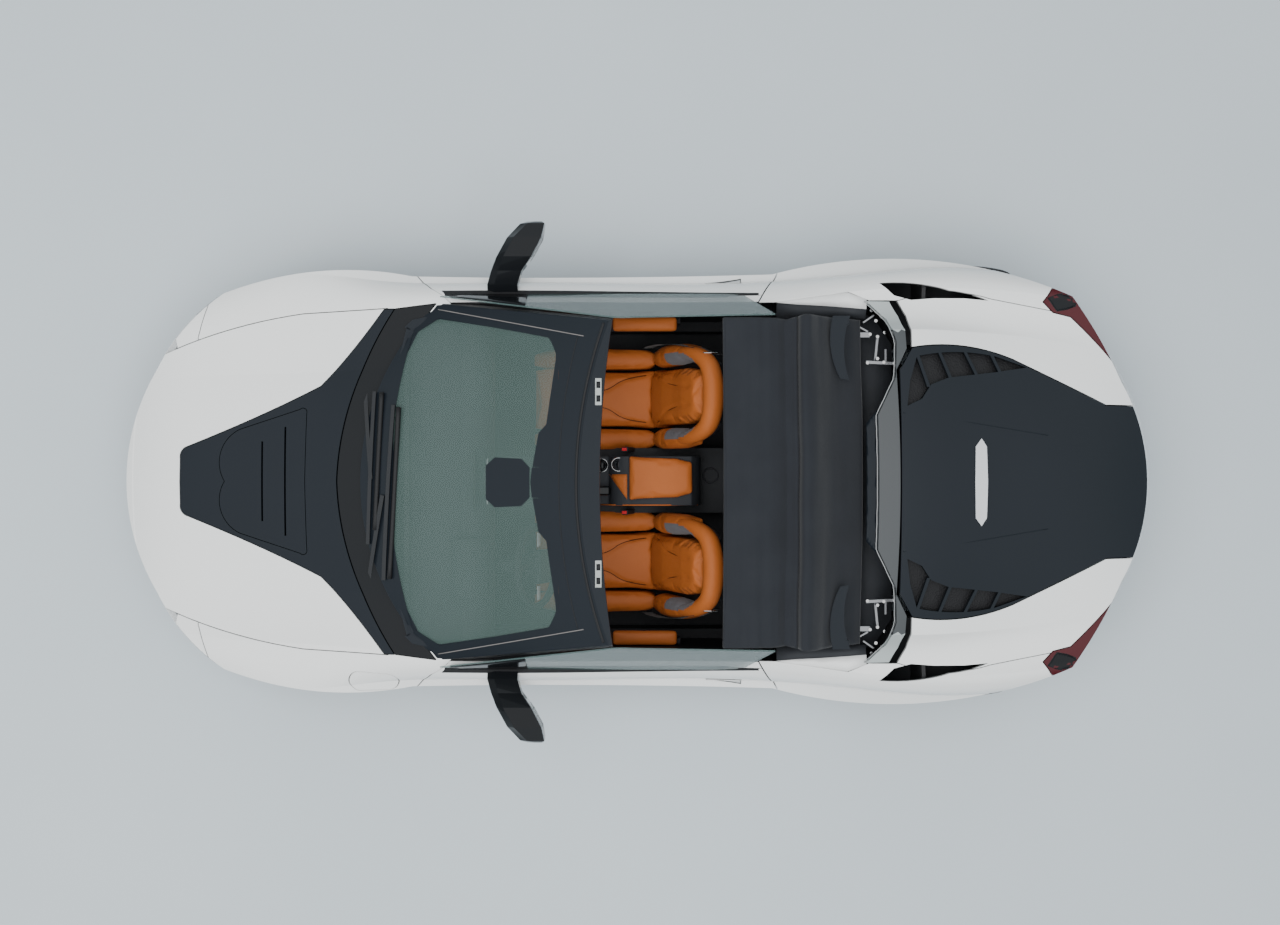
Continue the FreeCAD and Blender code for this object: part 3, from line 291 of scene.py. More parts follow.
# %% Finishes of the CAD pieces
FINISHES = {
    pearl_white: ["front_bumper", "hood", "front_fenders", "door_left", "door_right", "rear_fenders",
                  "rear_deck", "rear_bumper", "charge_flap"],
    satin_black: ["hood_band", "boot_lid", "windscreen_frame"],
    cover_black: ["top_cover"],
    bar_silver: ["lid_bar"],
    gloss_black: ["door_mirror_left", "door_mirror_right", "grille", "side_sills"],
    screen_glass: ["windscreen_glass"],
    door_glass: ["side_glass_left", "side_glass_right"],
    lamp_lens: ["head_lamps"],
    red_lens: ["tail_lamps"],
    moulded_black: ["diffuser", "front_valance", "interior_mirror", "wipers", "undertray", "floor_tub",
                    "wheel_liners"],
    soft_trim: ["dashboard", "centre_console"],
    tan_leather: ["seat_cushions", "seat_backs", "door_trim_left", "door_trim_right"],
    dark_leather: ["steering_wheel"],
    top_cloth: ["soft_top_cloth"],
    grey_bracket: ["soft_top_frame"],
    frame_black: ["front_frame", "rear_frame"],
    cast_alloy: ["engine_block", "suspension_arms", "knuckle_left", "knuckle_right",
                 "rim_front_left", "rim_front_right", "rim_rear_left", "rim_rear_right"],
    satin_steel: ["battery_pack"],
    tyre_rubber: ["tyre_front_left", "tyre_front_right", "tyre_rear_left", "tyre_rear_right"],
}


def dress(node_name, material):
    mesh = nodes[node_name].data
    mesh.materials.clear()
    mesh.materials.append(material)


for material, names in FINISHES.items():
    for node_name in names:
        dress(node_name, material)
bare = sorted(set(nodes) - {n for names in FINISHES.values() for n in names})
print("nodes with no finish:", bare)

# %% [markdown]
# The pieces that follow share a few tools. settle turns a bmesh into a finished piece that
# rides on a body of the car. tube draws a round bar or a seam along a smooth line, drop
# finds the height of a panel under a point, and lay fills an outline and lowers it on a
# panel, for everything that lies in the skin: vents, bars, strips and lenses.

# %% Tools for pieces
def settle(name, shape, finish, body, normals=True):
    if normals:
        bmesh.ops.recalc_face_normals(shape, faces=shape.faces)
    mesh = bpy.data.meshes.new(name)
    shape.to_mesh(mesh)
    shape.free()
    for one in finish if isinstance(finish, (list, tuple)) else [finish]:
        mesh.materials.append(one)
    mesh.shade_smooth()
    piece = bpy.data.objects.new(name, mesh)
    bpy.context.collection.objects.link(piece)
    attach(piece, body)
    return piece


BEVEL_ANGLE = 40.0


def finished(piece, bevel=0.0, segments=2, subdivide=0):
    if bevel:
        edges = piece.modifiers.new("edges", "BEVEL")
        edges.width = bevel
        edges.segments = segments
        edges.limit_method = "ANGLE"
        edges.angle_limit = math.radians(BEVEL_ANGLE)
        edges.harden_normals = True
    if subdivide:
        smooth = piece.modifiers.new("smooth", "SUBSURF")
        smooth.levels = smooth.render_levels = subdivide
    return piece


def thickened(piece, thickness):
    plies = piece.modifiers.new("thick", "SOLIDIFY")
    plies.thickness = thickness
    return piece


def mesh_of(curve):
    holder = bpy.data.objects.new("route", curve)
    bpy.context.collection.objects.link(holder)
    bpy.context.view_layer.update()
    mesh = bpy.data.meshes.new_from_object(holder)
    bpy.data.objects.remove(holder)
    return mesh


def tube_shape(points, radius, sides=8, smooth=True, closed=False):
    curve = bpy.data.curves.new("route", "CURVE")
    curve.dimensions = "3D"
    spline = curve.splines.new("NURBS" if smooth else "POLY")
    spline.points.add(len(points) - 1)
    radii = radius if isinstance(radius, (list, tuple)) else [radius] * len(points)
    for knot, place, thick in zip(spline.points, points, radii):
        knot.co = (*place, 1)
        knot.radius = thick / radii[0]
    if smooth:
        spline.order_u = 3
        spline.use_endpoint_u = not closed
    spline.use_cyclic_u = closed
    curve.resolution_u = 8
    curve.bevel_depth = radii[0]
    curve.bevel_resolution = max(0, sides // 4 - 1)
    curve.use_fill_caps = not closed
    mesh = mesh_of(curve)
    shape = bmesh.new()
    shape.from_mesh(mesh)
    bpy.data.meshes.remove(mesh)
    bmesh.ops.remove_doubles(shape, verts=shape.verts, dist=1e-6)
    return shape


def tube(name, points, radius, finish, body, slot=None, **more):
    return settle(name, tube_shape(points, radius, **more), finish, body)


def joined(name, shapes, finish, body):
    whole = bmesh.new()
    for shape in shapes:
        part = bpy.data.meshes.new("part")
        shape.to_mesh(part)
        shape.free()
        whole.from_mesh(part)
        bpy.data.meshes.remove(part)
    return settle(name, whole, finish, body)


DROP_FROM = 3.0
UP = Vector((0, 0, 1))
DOWN = -UP
MOST_CUTS = 6
trees = {}


def skin_tree(mesh):
    shape = bmesh.new()
    shape.from_mesh(mesh)
    tree = BVHTree.FromBMesh(shape)
    shape.free()
    return tree


def tree_of(node_name):
    if node_name not in trees:
        trees[node_name] = skin_tree(nodes[node_name].data)
    return trees[node_name]


def drop(x, y, *node_names):
    heights = []
    for node_name in node_names:
        hit = tree_of(node_name).ray_cast(Vector((x, y, DROP_FROM)), DOWN)
        if hit[0] is not None:
            heights.append((hit[0].z, hit[1]))
    return max(heights, key=lambda pair: pair[0]) if heights else (None, None)


def lay_shape(outline, node_names, lift, thick, step=0.03):
    shape = bmesh.new()
    ring = [shape.verts.new((x, y, 0)) for x, y in outline]
    edges = [shape.edges.new((a, b)) for a, b in zip(ring, ring[1:] + ring[:1])]
    bmesh.ops.triangle_fill(shape, use_beauty=True, use_dissolve=False, edges=edges)
    for _ in range(MOST_CUTS):
        long_edges = [e for e in shape.edges if e.calc_length() > step]
        if not long_edges:
            break
        bmesh.ops.subdivide_edges(shape, edges=long_edges, cuts=1)
        bmesh.ops.triangulate(shape, faces=shape.faces)
    last = 0.0
    for vert in shape.verts:
        height, _ = drop(vert.co.x, vert.co.y, *node_names)
        last = height if height is not None else last
        vert.co.z = last + lift
    bmesh.ops.recalc_face_normals(shape, faces=shape.faces)
    if sum(face.normal.z for face in shape.faces) < 0:
        bmesh.ops.reverse_faces(shape, faces=shape.faces)
    if thick:
        bmesh.ops.solidify(shape, geom=shape.faces[:], thickness=thick)
    return shape


def lay(name, outline, node_names, finish, body, lift, thick):
    return settle(name, lay_shape(outline, node_names, lift, thick), finish, body)


def flipped(points):
    return [(p[0], -p[1], *p[2:]) for p in points]


print("tools ready")

# %% [markdown]
# A tyre is a ring, so half of its section is spun round the axle. Four grooves run round
# the tread, and each rib between them is cut across by narrow slots: the faces of the slots
# are picked by their place round the tyre and pushed towards the axle.

# %% Tyres
TYRE_RADIUS = 0.351
BEAD_RADIUS = 0.254
PITCHES = 72
SLOT_SHARE = 0.16
SLOT_DEPTH = 0.006
GROOVE_DEPTH = 0.007
GROOVES = (-0.58, -0.2, 0.2, 0.58)
GROOVE_HALF = 0.045
CROWN_HALF = 0.86
CROWN_FALL = 0.0035
BEAD_SIDE = [(0.74, 0.0), (0.84, 0.004), (0.90, 0.014), (0.985, 0.036), (1.0, 0.050)]
SHOULDER = [(0.985, 0.034), (0.94, 0.016), (0.90, 0.007), (CROWN_HALF, CROWN_FALL)]


def tyre_profile(half):
    points = [(share * half, BEAD_RADIUS + rise) for share, rise in BEAD_SIDE]
    points += [(share * half, TYRE_RADIUS - fall) for share, fall in SHOULDER]
    crown = []
    for middle in sorted(GROOVES, reverse=True):
        for place, depth in ((1.0, 0), (0.6, 1), (-0.6, 1), (-1.0, 0)):
            y = middle + place * GROOVE_HALF
            rise = CROWN_FALL * (y / CROWN_HALF) ** 2
            crown.append((y * half, TYRE_RADIUS - rise - GROOVE_DEPTH * depth))
    return points + crown + [(-y, z) for y, z in reversed(points)]


def make_tyre(name, body, x, y, half):
    shape = bmesh.new()
    verts = [shape.verts.new((0, across, radius)) for across, radius in tyre_profile(half)]
    edges = [shape.edges.new(pair) for pair in zip(verts, verts[1:])]
    narrow = math.tau / PITCHES * SLOT_SHARE
    wide = math.tau / PITCHES - narrow
    geometry = verts + edges
    for turn in [wide, narrow] * PITCHES:
        made = bmesh.ops.spin(shape, geom=geometry, cent=(0, 0, 0), axis=(0, 1, 0), angle=turn, steps=1)
        geometry = made["geom_last"]
    bmesh.ops.remove_doubles(shape, verts=shape.verts, dist=1e-5)
    slots = []
    for face in shape.faces:
        middle = face.calc_center_median()
        radius = math.hypot(middle.x, middle.z)
        angle = math.atan2(middle.x, middle.z) % (math.tau / PITCHES)
        on_tread = radius > TYRE_RADIUS - 0.006 and abs(middle.y) < half * 0.9
        if on_tread and angle > wide:
            slots.append(face)
    pushed = bmesh.ops.extrude_discrete_faces(shape, faces=slots)["faces"]
    for face in pushed:
        for vert in face.verts:
            inward = Vector((-vert.co.x, 0, -vert.co.z)).normalized()
            vert.co += inward * SLOT_DEPTH
    bmesh.ops.translate(shape, verts=shape.verts, vec=(x, y, TYRE_RADIUS))
    piece = settle("tread_" + name, shape, tyre_rubber, body)
    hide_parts("tyre_" + name)
    return piece


WHEELS = [("front_left", 1.4, 0.822, 0.0975), ("front_right", 1.4, -0.822, 0.0975),
          ("rear_left", -1.4, 0.8605, 0.1075), ("rear_right", -1.4, -0.8605, 0.1075)]
for name, x, y, half in WHEELS:
    tyre = make_tyre(name, "wheel_" + name, x, y, half)
print("tyre faces:", len(tyre.data.polygons))

# %% [markdown]
# The seats are the warm heart of the picture. Each is a set of sewn pads: a middle pad and
# two bolsters for the cushion, the same for the back, and a thick roll that runs up the
# sides and over the top as the headrest. A pad starts as a plain slab that follows the
# seat's line. It is remeshed evenly and then blown up a little as cloth, which gives the
# swell between its edges that a modelled box never has.

# %% Pads
VOXEL = 0.0085
SIM_FRAMES = 18
PRESSURE = 4.0
STIFFNESS = 0.8
SOFTENING = 6
FAR_OFF = 0.2
ACROSS = 6


def slab(stations):
    count = len(stations) - 1
    shape = bmesh.new()
    bmesh.ops.create_grid(shape, x_segments=count, y_segments=ACROSS, size=1.0)
    made = bmesh.ops.extrude_face_region(shape, geom=shape.faces[:])
    lower = {item for item in made["geom"] if isinstance(item, bmesh.types.BMVert)}
    for vert in shape.verts:
        station = stations[round((vert.co.x + 1) / 2 * count)]
        x, z, half, thick, lean, crown = station
        side = vert.co.y
        depth = thick if vert in lower else -crown * (1 - side * side)
        vert.co = (x - math.sin(lean) * depth, side * half, z - math.cos(lean) * depth)
    bmesh.ops.recalc_face_normals(shape, faces=shape.faces)
    return shape


def plump(piece, cap):
    bpy.context.view_layer.objects.active = piece
    piece.select_set(True)
    even = piece.modifiers.new("even", "REMESH")
    even.mode = "VOXEL"
    even.voxel_size = VOXEL
    bpy.ops.object.modifier_apply(modifier=even.name)
    soften = piece.modifiers.new("soften", "SMOOTH")
    soften.factor = 0.5
    soften.iterations = SOFTENING
    bpy.ops.object.modifier_apply(modifier=soften.name)
    swell(piece, cap)
    piece.data.shade_smooth()
    piece.select_set(False)


def swell(piece, cap):
    scene = bpy.context.scene
    start = [vert.co.copy() for vert in piece.data.vertices]
    cloth = piece.modifiers.new("fill", "CLOTH")
    cloth.settings.use_pressure = True
    cloth.settings.uniform_pressure_force = PRESSURE
    cloth.settings.effector_weights.gravity = 0.0
    cloth.settings.bending_stiffness = STIFFNESS
    cloth.collision_settings.use_collision = False
    cloth.point_cache.frame_start = 1
    cloth.point_cache.frame_end = SIM_FRAMES
    for number in range(1, SIM_FRAMES + 1):
        scene.frame_set(number)
    held = piece.evaluated_get(bpy.context.evaluated_depsgraph_get())
    moved = [vert.co.copy() for vert in held.data.vertices]
    piece.modifiers.remove(cloth)
    scene.frame_set(1)
    for vert, before, after in zip(piece.data.vertices, start, moved):
        step = after - before
        if step.length > cap:
            step = step.normalized() * cap
        vert.co = before + step


def segment_distance(point, first, second):
    run = second - first
    share = max(0.0, min(1.0, (point - first).dot(run) / run.length_squared))
    return (point - first - run * share).length


def groove(piece, lines, depth, width):
    reach = 2.5 * width
    for vert in piece.data.vertices:
        best = reach
        for line in lines:
            for first, second in zip(line, line[1:]):
                if abs(vert.co.x - first.x) < FAR_OFF and abs(vert.co.y - first.y) < FAR_OFF:
                    best = min(best, segment_distance(vert.co, first, second))
        if best < reach:
            vert.co -= vert.normal * depth * math.exp(-((best / width) ** 2))


def between(table, x):
    rows = sorted(table)
    for (x0, v0), (x1, v1) in zip(rows, rows[1:]):
        if x0 <= x <= x1:
            return v0 + (v1 - v0) * (x - x0) / (x1 - x0)
    return rows[0][1] if x < rows[0][0] else rows[-1][1]


def on_skin(piece, points, lift):
    tree = skin_tree(piece.data)
    placed = []
    for point in points:
        near, normal, _, _ = tree.find_nearest(Vector(point))
        placed.append(near + normal * lift)
    return placed


print("pads ready")

# %% [markdown]
# Each seat is made at the car's middle and then moved to its side, and the right seat is a
# mirror of the left one. The seams come after the swelling: a groove is pressed along each
# seam line, and a thin dark cord of piping is laid in it. Grey fabric lies inside the
# shoulders, so the faces there get a second finish. A station of a pad holds its place
# along the car, height, half width, thickness, lean and crown.

# %% Seats
SEAT_Y = 0.377
CUSHION_MIDDLE = [(-0.105, 0.398, 0.138, 0.090, 0.0, 0.006), (0.0, 0.404, 0.139, 0.092, 0.02, 0.008),
                  (0.11, 0.412, 0.141, 0.094, 0.06, 0.010), (0.22, 0.424, 0.144, 0.096, 0.09, 0.010),
                  (0.32, 0.438, 0.147, 0.098, 0.11, 0.008), (0.39, 0.446, 0.149, 0.098, -0.2, 0.006),
                  (0.425, 0.425, 0.148, 0.090, -0.8, 0.0)]
CUSHION_SIDE = [(-0.10, 0.430, 0.030, 0.150, 0.0, 0.006), (0.03, 0.446, 0.034, 0.160, 0.05, 0.008),
                (0.15, 0.462, 0.036, 0.170, 0.08, 0.010), (0.28, 0.476, 0.036, 0.170, 0.05, 0.010),
                (0.37, 0.470, 0.034, 0.150, -0.3, 0.006), (0.41, 0.440, 0.030, 0.120, -0.7, 0.0)]
BACK_MIDDLE = [(-0.078, 0.400, 0.136, 0.085, 1.45, 0.006), (-0.104, 0.480, 0.138, 0.085, 1.30, 0.008),
               (-0.140, 0.580, 0.140, 0.078, 1.27, 0.010), (-0.184, 0.680, 0.141, 0.068, 1.25, 0.010),
               (-0.222, 0.780, 0.138, 0.064, 1.20, 0.010), (-0.258, 0.860, 0.120, 0.058, 1.15, 0.006),
               (-0.284, 0.912, 0.086, 0.050, 1.10, 0.0)]
BACK_SIDE = [(-0.080, 0.410, 0.028, 0.090, 1.40, 0.006), (-0.082, 0.500, 0.032, 0.100, 1.32, 0.008),
             (-0.100, 0.600, 0.034, 0.105, 1.28, 0.010), (-0.132, 0.700, 0.034, 0.105, 1.22, 0.010),
             (-0.176, 0.790, 0.032, 0.100, 1.12, 0.008), (-0.226, 0.864, 0.028, 0.085, 1.02, 0.0)]
SIDE_PAD_Y = 0.186
ROLL = [(-0.158, 0.186, 0.690), (-0.196, 0.190, 0.785), (-0.254, 0.182, 0.880), (-0.312, 0.140, 0.945),
        (-0.330, 0.075, 0.960), (-0.334, 0.0, 0.963)]
ROLL_RADIUS = [0.020, 0.027, 0.034, 0.042, 0.046, 0.047]
PIPING = 0.0022
SEAM_DEPTH = 0.005
SEAM_WIDTH = 0.009
CUSHION_SEAMS = [[(0.30, 0.030), (0.20, 0.032), (0.13, 0.046), (0.05, 0.100), (-0.04, 0.132)]]
BACK_SEAMS = [[(-0.084, 0.118, 0.420), (-0.116, 0.095, 0.520), (-0.162, 0.060, 0.610),
               (-0.200, 0.044, 0.720), (-0.240, 0.040, 0.820), (-0.280, 0.040, 0.900)]]
CAP_CUSHION = 0.016
CAP_SIDE = 0.012
CAP_ROLL = 0.010
GREY_LINE = [(0.66, 0.186), (0.80, 0.190), (0.87, 0.178), (0.915, 0.150)]
GREY_SIDE = (0.70, 1.0)
GREY_ROLL = (0.72, 0.915)
SHELL_BEHIND = 0.075
SHELL_WIDER = 0.05
SHELL_THICK = 0.016


def pad(name, stations, y, cap):
    shape = slab(stations)
    bmesh.ops.translate(shape, verts=shape.verts, vec=(0, y, 0))
    piece = settle(name, shape, tan_leather, "body")
    plump(piece, cap)
    return piece


def seams_on(piece, lines):
    both = lines + [flipped(line) for line in lines]
    laid = [on_skin(piece, line, 0.0) for line in both]
    groove(piece, laid, SEAM_DEPTH, SEAM_WIDTH)
    return [tube_shape(on_skin(piece, line, -0.0004), PIPING, sides=8) for line in both]


def move_to_seat(piece, side):
    for vert in piece.data.vertices:
        vert.co.y = SEAT_Y * side + vert.co.y * side
    if side < 0:
        shape = bmesh.new()
        shape.from_mesh(piece.data)
        bmesh.ops.reverse_faces(shape, faces=shape.faces)
        shape.to_mesh(piece.data)
        shape.free()


def copy_piece(piece, name):
    twin = piece.copy()
    twin.data = piece.data.copy()
    twin.name = name
    bpy.context.collection.objects.link(twin)
    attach(twin, "body")
    return twin


def grey_tops(piece, low, high):
    piece.data.materials.append(grey_fabric)
    for face in piece.data.polygons:
        x, y, z = face.center
        inner = abs(y) < between(GREY_LINE, z)
        if inner and low < z < high and (face.normal.x > 0.1 or face.normal.y * y < 0):
            face.material_index = 1


def make_seat():
    parts = {}
    cushion = pad("seat_cushion", CUSHION_MIDDLE, 0, CAP_CUSHION)
    cushion_lines = [[(x, y, 0.45) for x, y in line] for line in CUSHION_SEAMS]
    pipes = seams_on(cushion, cushion_lines)
    back = pad("seat_back", BACK_MIDDLE, 0, CAP_CUSHION)
    pipes += seams_on(back, BACK_SEAMS)
    parts["cushion"], parts["back"] = cushion, back
    for end, y in (("a", SIDE_PAD_Y), ("b", -SIDE_PAD_Y)):
        bolster = pad("seat_cushion_side_" + end, CUSHION_SIDE, y, CAP_SIDE)
        parts["cushion_side_" + end] = bolster
        side_pad = pad("seat_back_side_" + end, BACK_SIDE, y, CAP_SIDE)
        grey_tops(side_pad, *GREY_SIDE)
        parts["back_side_" + end] = side_pad
    path = ROLL + flipped(ROLL[:-1])[::-1]
    radii = ROLL_RADIUS + ROLL_RADIUS[:-1][::-1]
    roll = settle("seat_roll", tube_shape(path, radii, sides=24), tan_leather, "body")
    plump(roll, CAP_ROLL)
    grey_tops(roll, *GREY_ROLL)
    parts["roll"] = roll
    parts["piping"] = joined("seat_piping", pipes, seam_leather, "body")
    shell = slab([(x - SHELL_BEHIND, z, half + SHELL_WIDER, SHELL_THICK, lean, 0.0)
                  for x, z, half, _, lean, _ in BACK_MIDDLE])
    parts["shell"] = finished(settle("seat_shell", shell, moulded_black, "body"), 0.006, 3)
    return parts


seat_parts = make_seat()
for part_name, piece in list(seat_parts.items()):
    twin = copy_piece(piece, piece.name + "_right")
    piece.name += "_left"
    move_to_seat(piece, 1)
    move_to_seat(twin, -1)
    for one in (piece, twin):
        if part_name not in ("piping", "shell"):
            finished(one, subdivide=1)
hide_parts("seat_cushions")
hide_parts("seat_backs")
print("seat pieces:", len(seat_parts) * 2)

# %% [markdown]
# The soft top is one long sheet of proofed cloth, caught half folded behind the seats. Its
# front hem lies high and flat, then the cloth dives into a fold, rises over a bow in a
# round hump and falls away to the rear. The sheet starts as a flat grid of its real cut
# size. Its length follows the profile, and its ripples grow towards the two sides, where
# the cloth is caught less tight.

# %% Soft top
TOP_PROFILE = [(-0.362, 1.300), (-0.40, 1.3055), (-0.46, 1.3065), (-0.52, 1.305), (-0.565, 1.299),
               (-0.596, 1.282), (-0.618, 1.268), (-0.638, 1.274), (-0.655, 1.292), (-0.663, 1.284),
               (-0.667, 1.262), (-0.671, 1.284), (-0.676, 1.322), (-0.690, 1.331), (-0.710, 1.326),
               (-0.730, 1.306), (-0.756, 1.268), (-0.786, 1.220), (-0.820, 1.176), (-0.862, 1.136),
               (-0.900, 1.106), (-0.932, 1.078), (-0.955, 1.058)]
TOP_HALF = [(-0.362, 0.678), (-0.57, 0.676), (-0.62, 0.672), (-0.69, 0.688), (-0.955, 0.690)]
TOP_SEAM = 0.622
TOP_SAG = 0.074
TOP_COLUMNS = 120
CLOTH_THICK = 0.0035
WAVE = 0.010
FOLD = 0.010
HEM_X = -0.3635
HEM_HEIGHT = 1.2945
HEM_HALF = 0.676
HEM_RADIUS = 0.0065
SEAM_GAP = 0.009


def smooth_line(points):
    curve = bpy.data.curves.new("line", "CURVE")
    curve.dimensions = "3D"
    spline = curve.splines.new("NURBS")
    spline.points.add(len(points) - 1)
    for knot, (x, z) in zip(spline.points, points):
        knot.co = (x, 0, z, 1)
    spline.order_u = 3
    spline.use_endpoint_u = True
    curve.resolution_u = 8
    return [vert.co.copy() for vert in mesh_of(curve).vertices]


def make_top_cloth():
    line = smooth_line(TOP_PROFILE)
    rows = len(line) - 1
    shape = bmesh.new()
    bmesh.ops.create_grid(shape, x_segments=rows, y_segments=TOP_COLUMNS, size=1.0)
    for vert in shape.verts:
        spot = line[round((vert.co.x + 1) / 2 * rows)]
        side = vert.co.y
        half = between(TOP_HALF, spot.x)
        wave = noise.noise(Vector((spot.x * 9, side * 3.2, 1.7))) * WAVE
        edge = abs(side) ** 3
        fold = noise.noise(Vector((spot.x * 26, side * 2.0, 5.1))) * FOLD * (0.30 + edge)
        vert.co = (spot.x + wave * 0.5, side * half, spot.z - TOP_SAG * side * side + wave * 0.5 + fold)
    piece = settle("top_cloth", shape, top_cloth, "body")
    thickened(piece, CLOTH_THICK)
    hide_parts("soft_top_cloth")
    return piece


def top_line(y, x_from, x_to, count):
    points = []
    tree = skin_tree(top_piece.data)
    for k in range(count + 1):
        x = x_from + (x_to - x_from) * k / count
        hit = tree.ray_cast(Vector((x, y, DROP_FROM)), DOWN)[0]
        if hit is not None:
            points.append((hit.x, hit.y, hit.z + 0.0012))
    return points


top_piece = make_top_cloth()
hem_points = [(HEM_X, HEM_HALF * k / 12, HEM_HEIGHT - TOP_SAG * (k / 12) ** 2) for k in range(-12, 13)]
tube("top_hem", hem_points, HEM_RADIUS, top_cloth, "body", "black_cloth")
seams = [tube_shape(top_line((TOP_SEAM + off) * side, -0.37, -0.93, 60), 0.0015, sides=8)
         for _, side in SIDES for off in (0.0, -SEAM_GAP)]
joined("top_seams", seams, lining_cloth, "body")
print("top seams:", len(seams))

# %% [markdown]
# Between the seats lies a padded tan armrest, narrower at its rear, with chrome-edged cup
# holders and a selector in front of it. Two small shapes, a box and a drum, serve for the
# fittings here and further on.

# %% Console
CUPS = [(0.080, -0.074), (0.158, -0.070)]
CUP_RADIUS = 0.030
REST_MIDDLE = (-0.111, -0.0135, 0.650)
REST_SIZE = (0.298, 0.205, 0.034)
REST_TAPER = 0.10
REST_CORNER = (0.72, 0.22)
RING_AT = (-0.345, -0.022, 0.4335)
EDGE_Y = 0.1085
BUCKLE_Y = 0.143


def box_shape(x, y, z, length, width, height, turn=0.0, pitch=0.0):
    shape = bmesh.new()
    bmesh.ops.create_cube(shape, size=1.0)
    bmesh.ops.scale(shape, verts=shape.verts, vec=(length, width, height))
    bmesh.ops.rotate(shape, verts=shape.verts, matrix=Matrix.Rotation(pitch, 3, "Y"))
    bmesh.ops.rotate(shape, verts=shape.verts, matrix=Matrix.Rotation(turn, 3, "Z"))
    bmesh.ops.translate(shape, verts=shape.verts, vec=(x, y, z))
    return shape


def drum_shape(centre, way, radius, depth, sides=32, top=None):
    shape = bmesh.new()
    bmesh.ops.create_cone(shape, cap_ends=True, segments=sides, radius1=radius, depth=depth,
                          radius2=radius if top is None else top)
    turn = UP.rotation_difference(Vector(way)).to_matrix()
    bmesh.ops.rotate(shape, verts=shape.verts, matrix=turn)
    bmesh.ops.translate(shape, verts=shape.verts, vec=centre)
    return shape


def oval(centre, first, second, count=20):
    angles = [math.tau * k / count for k in range(count)]
    return [tuple(c + f * math.cos(a) + s * math.sin(a) for c, f, s in zip(centre, first, second))
            for a in angles]


def level_ring(centre, radius):
    return oval(centre, (radius, 0, 0), (0, radius, 0), 24)


def armrest_shape():
    x, y, _ = REST_MIDDLE
    length = REST_SIZE[0]
    start, pull = REST_CORNER
    shape = box_shape(*REST_MIDDLE, *REST_SIZE)
    bmesh.ops.subdivide_edges(shape, edges=shape.edges[:], cuts=3, use_grid_fill=True)
    for vert in shape.verts:
        back = max(0.0, min(1.0, (x + length / 2 - vert.co.x) / length))
        corner = max(0.0, back - start) / (1.0 - start)
        vert.co.y = y + (vert.co.y - y) * (1.0 - REST_TAPER * back - pull * corner * corner)
    return shape


rest = settle("console_armrest", armrest_shape(), tan_leather, "body")
plump(rest, 0.008)
finished(rest, subdivide=1)
flank = [(0.124, -0.030), (0.040, -0.030), (0.040, 0.084)]
lay("console_flank", flank, ["centre_console"], tan_leather, "body", 0.004, 0.004)
edge = [(x, EDGE_Y, drop(x, EDGE_Y, "centre_console")[0] + 0.001)
        for x in (0.16, 0.10, 0.05, -0.05, -0.15, -0.28)]
tube("console_edge", edge, 0.0030, tan_leather, "body", "orange_leather", smooth=False)
tube("console_ring", level_ring(RING_AT, 0.034), 0.004, moulded_black, "body", closed=True)
cup_tops = [drop(x, y, "centre_console")[0] for x, y in CUPS]
print("cup heights:", [round(z, 3) for z in cup_tops])
rims = []
hollows = []
for (x, y), z in zip(CUPS, cup_tops):
    rims.append(tube_shape(level_ring((x, y, z + 0.002), CUP_RADIUS), 0.0028, closed=True))
    hollows.append(drum_shape((x, y, z + 0.0006), UP, CUP_RADIUS - 0.001, 0.0016))
joined("cup_rims", rims, chrome, "body")
joined("cup_hollows", hollows, display_black, "body")
selector = box_shape(0.150, 0.045, 0.590, 0.062, 0.042, 0.052, 0.0, -0.25)
finished(settle("selector", selector, display_black, "body"), 0.012, 4)
buckles = [box_shape(0.036, BUCKLE_Y * side, 0.520, 0.030, 0.022, 0.150, 0.0, 0.2) for _, side in SIDES]
finished(joined("buckles", buckles, moulded_black, "body"), 0.004, 3)
buttons = [box_shape(0.053, BUCKLE_Y * side, 0.598, 0.022, 0.014, 0.006, 0.0, 0.2) for _, side in SIDES]
finished(joined("buckle_buttons", buttons, red_plastic, "body"), 0.0015, 2)
print("console ready")

# %% [markdown]
# The black parts of the skin carry fine things that lie on them: dark mesh under the vents
# of the rear lid and soft creases across it. The front corners have a narrow air slit, and
# each tail lamp has a dark hollow before it. A vent is open, so nothing lies under it that
# a drop could find, and the mesh follows a slope from the lid's edge to the deck instead.

# %% Details in the skin
LID_MESH = [(-1.131, 0.312), (-1.146, 0.429), (-1.178, 0.536), (-1.280, 0.552), (-1.368, 0.556),
            (-1.450, 0.552), (-1.532, 0.538), (-1.668, 0.488), (-1.528, 0.461), (-1.312, 0.434),
            (-1.234, 0.404), (-1.193, 0.345)]
VENT_DEPTH = 0.024
VENT_SIDES = (0.255, 0.620)
VENT_FALL = 0.06
LID_CREASE = [(-1.117, 0.290), (-1.330, 0.262), (-1.540, 0.230), (-1.746, 0.198)]
AIR_SLIT = [(1.905, 0.838), (1.955, 0.792), (1.992, 0.752), (1.986, 0.748), (1.940, 0.782),
            (1.896, 0.828)]
LAMP_HOLLOW = [(-1.760, 0.786), (-1.800, 0.802), (-1.880, 0.822), (-1.893, 0.800), (-1.886, 0.752),
               (-1.850, 0.738), (-1.806, 0.730)]
PLENUM_FRONT = (1.3065, 0.468)
BLADE_HEIGHT = 1.168


def dress_faces(node_name, material, chosen):
    mesh = nodes[node_name].data
    mesh.materials.append(material)
    index = len(mesh.materials) - 1
    count = 0
    for face in mesh.polygons:
        if chosen(face.center):
            face.material_index = index
            count += 1
    return count


def both_sides(name, outline, node_names, finish, body, lift, thick, step):
    shapes = [lay_shape(points, node_names, lift, thick, step) for points in (outline, flipped(outline))]
    return joined(name, shapes, finish, body)


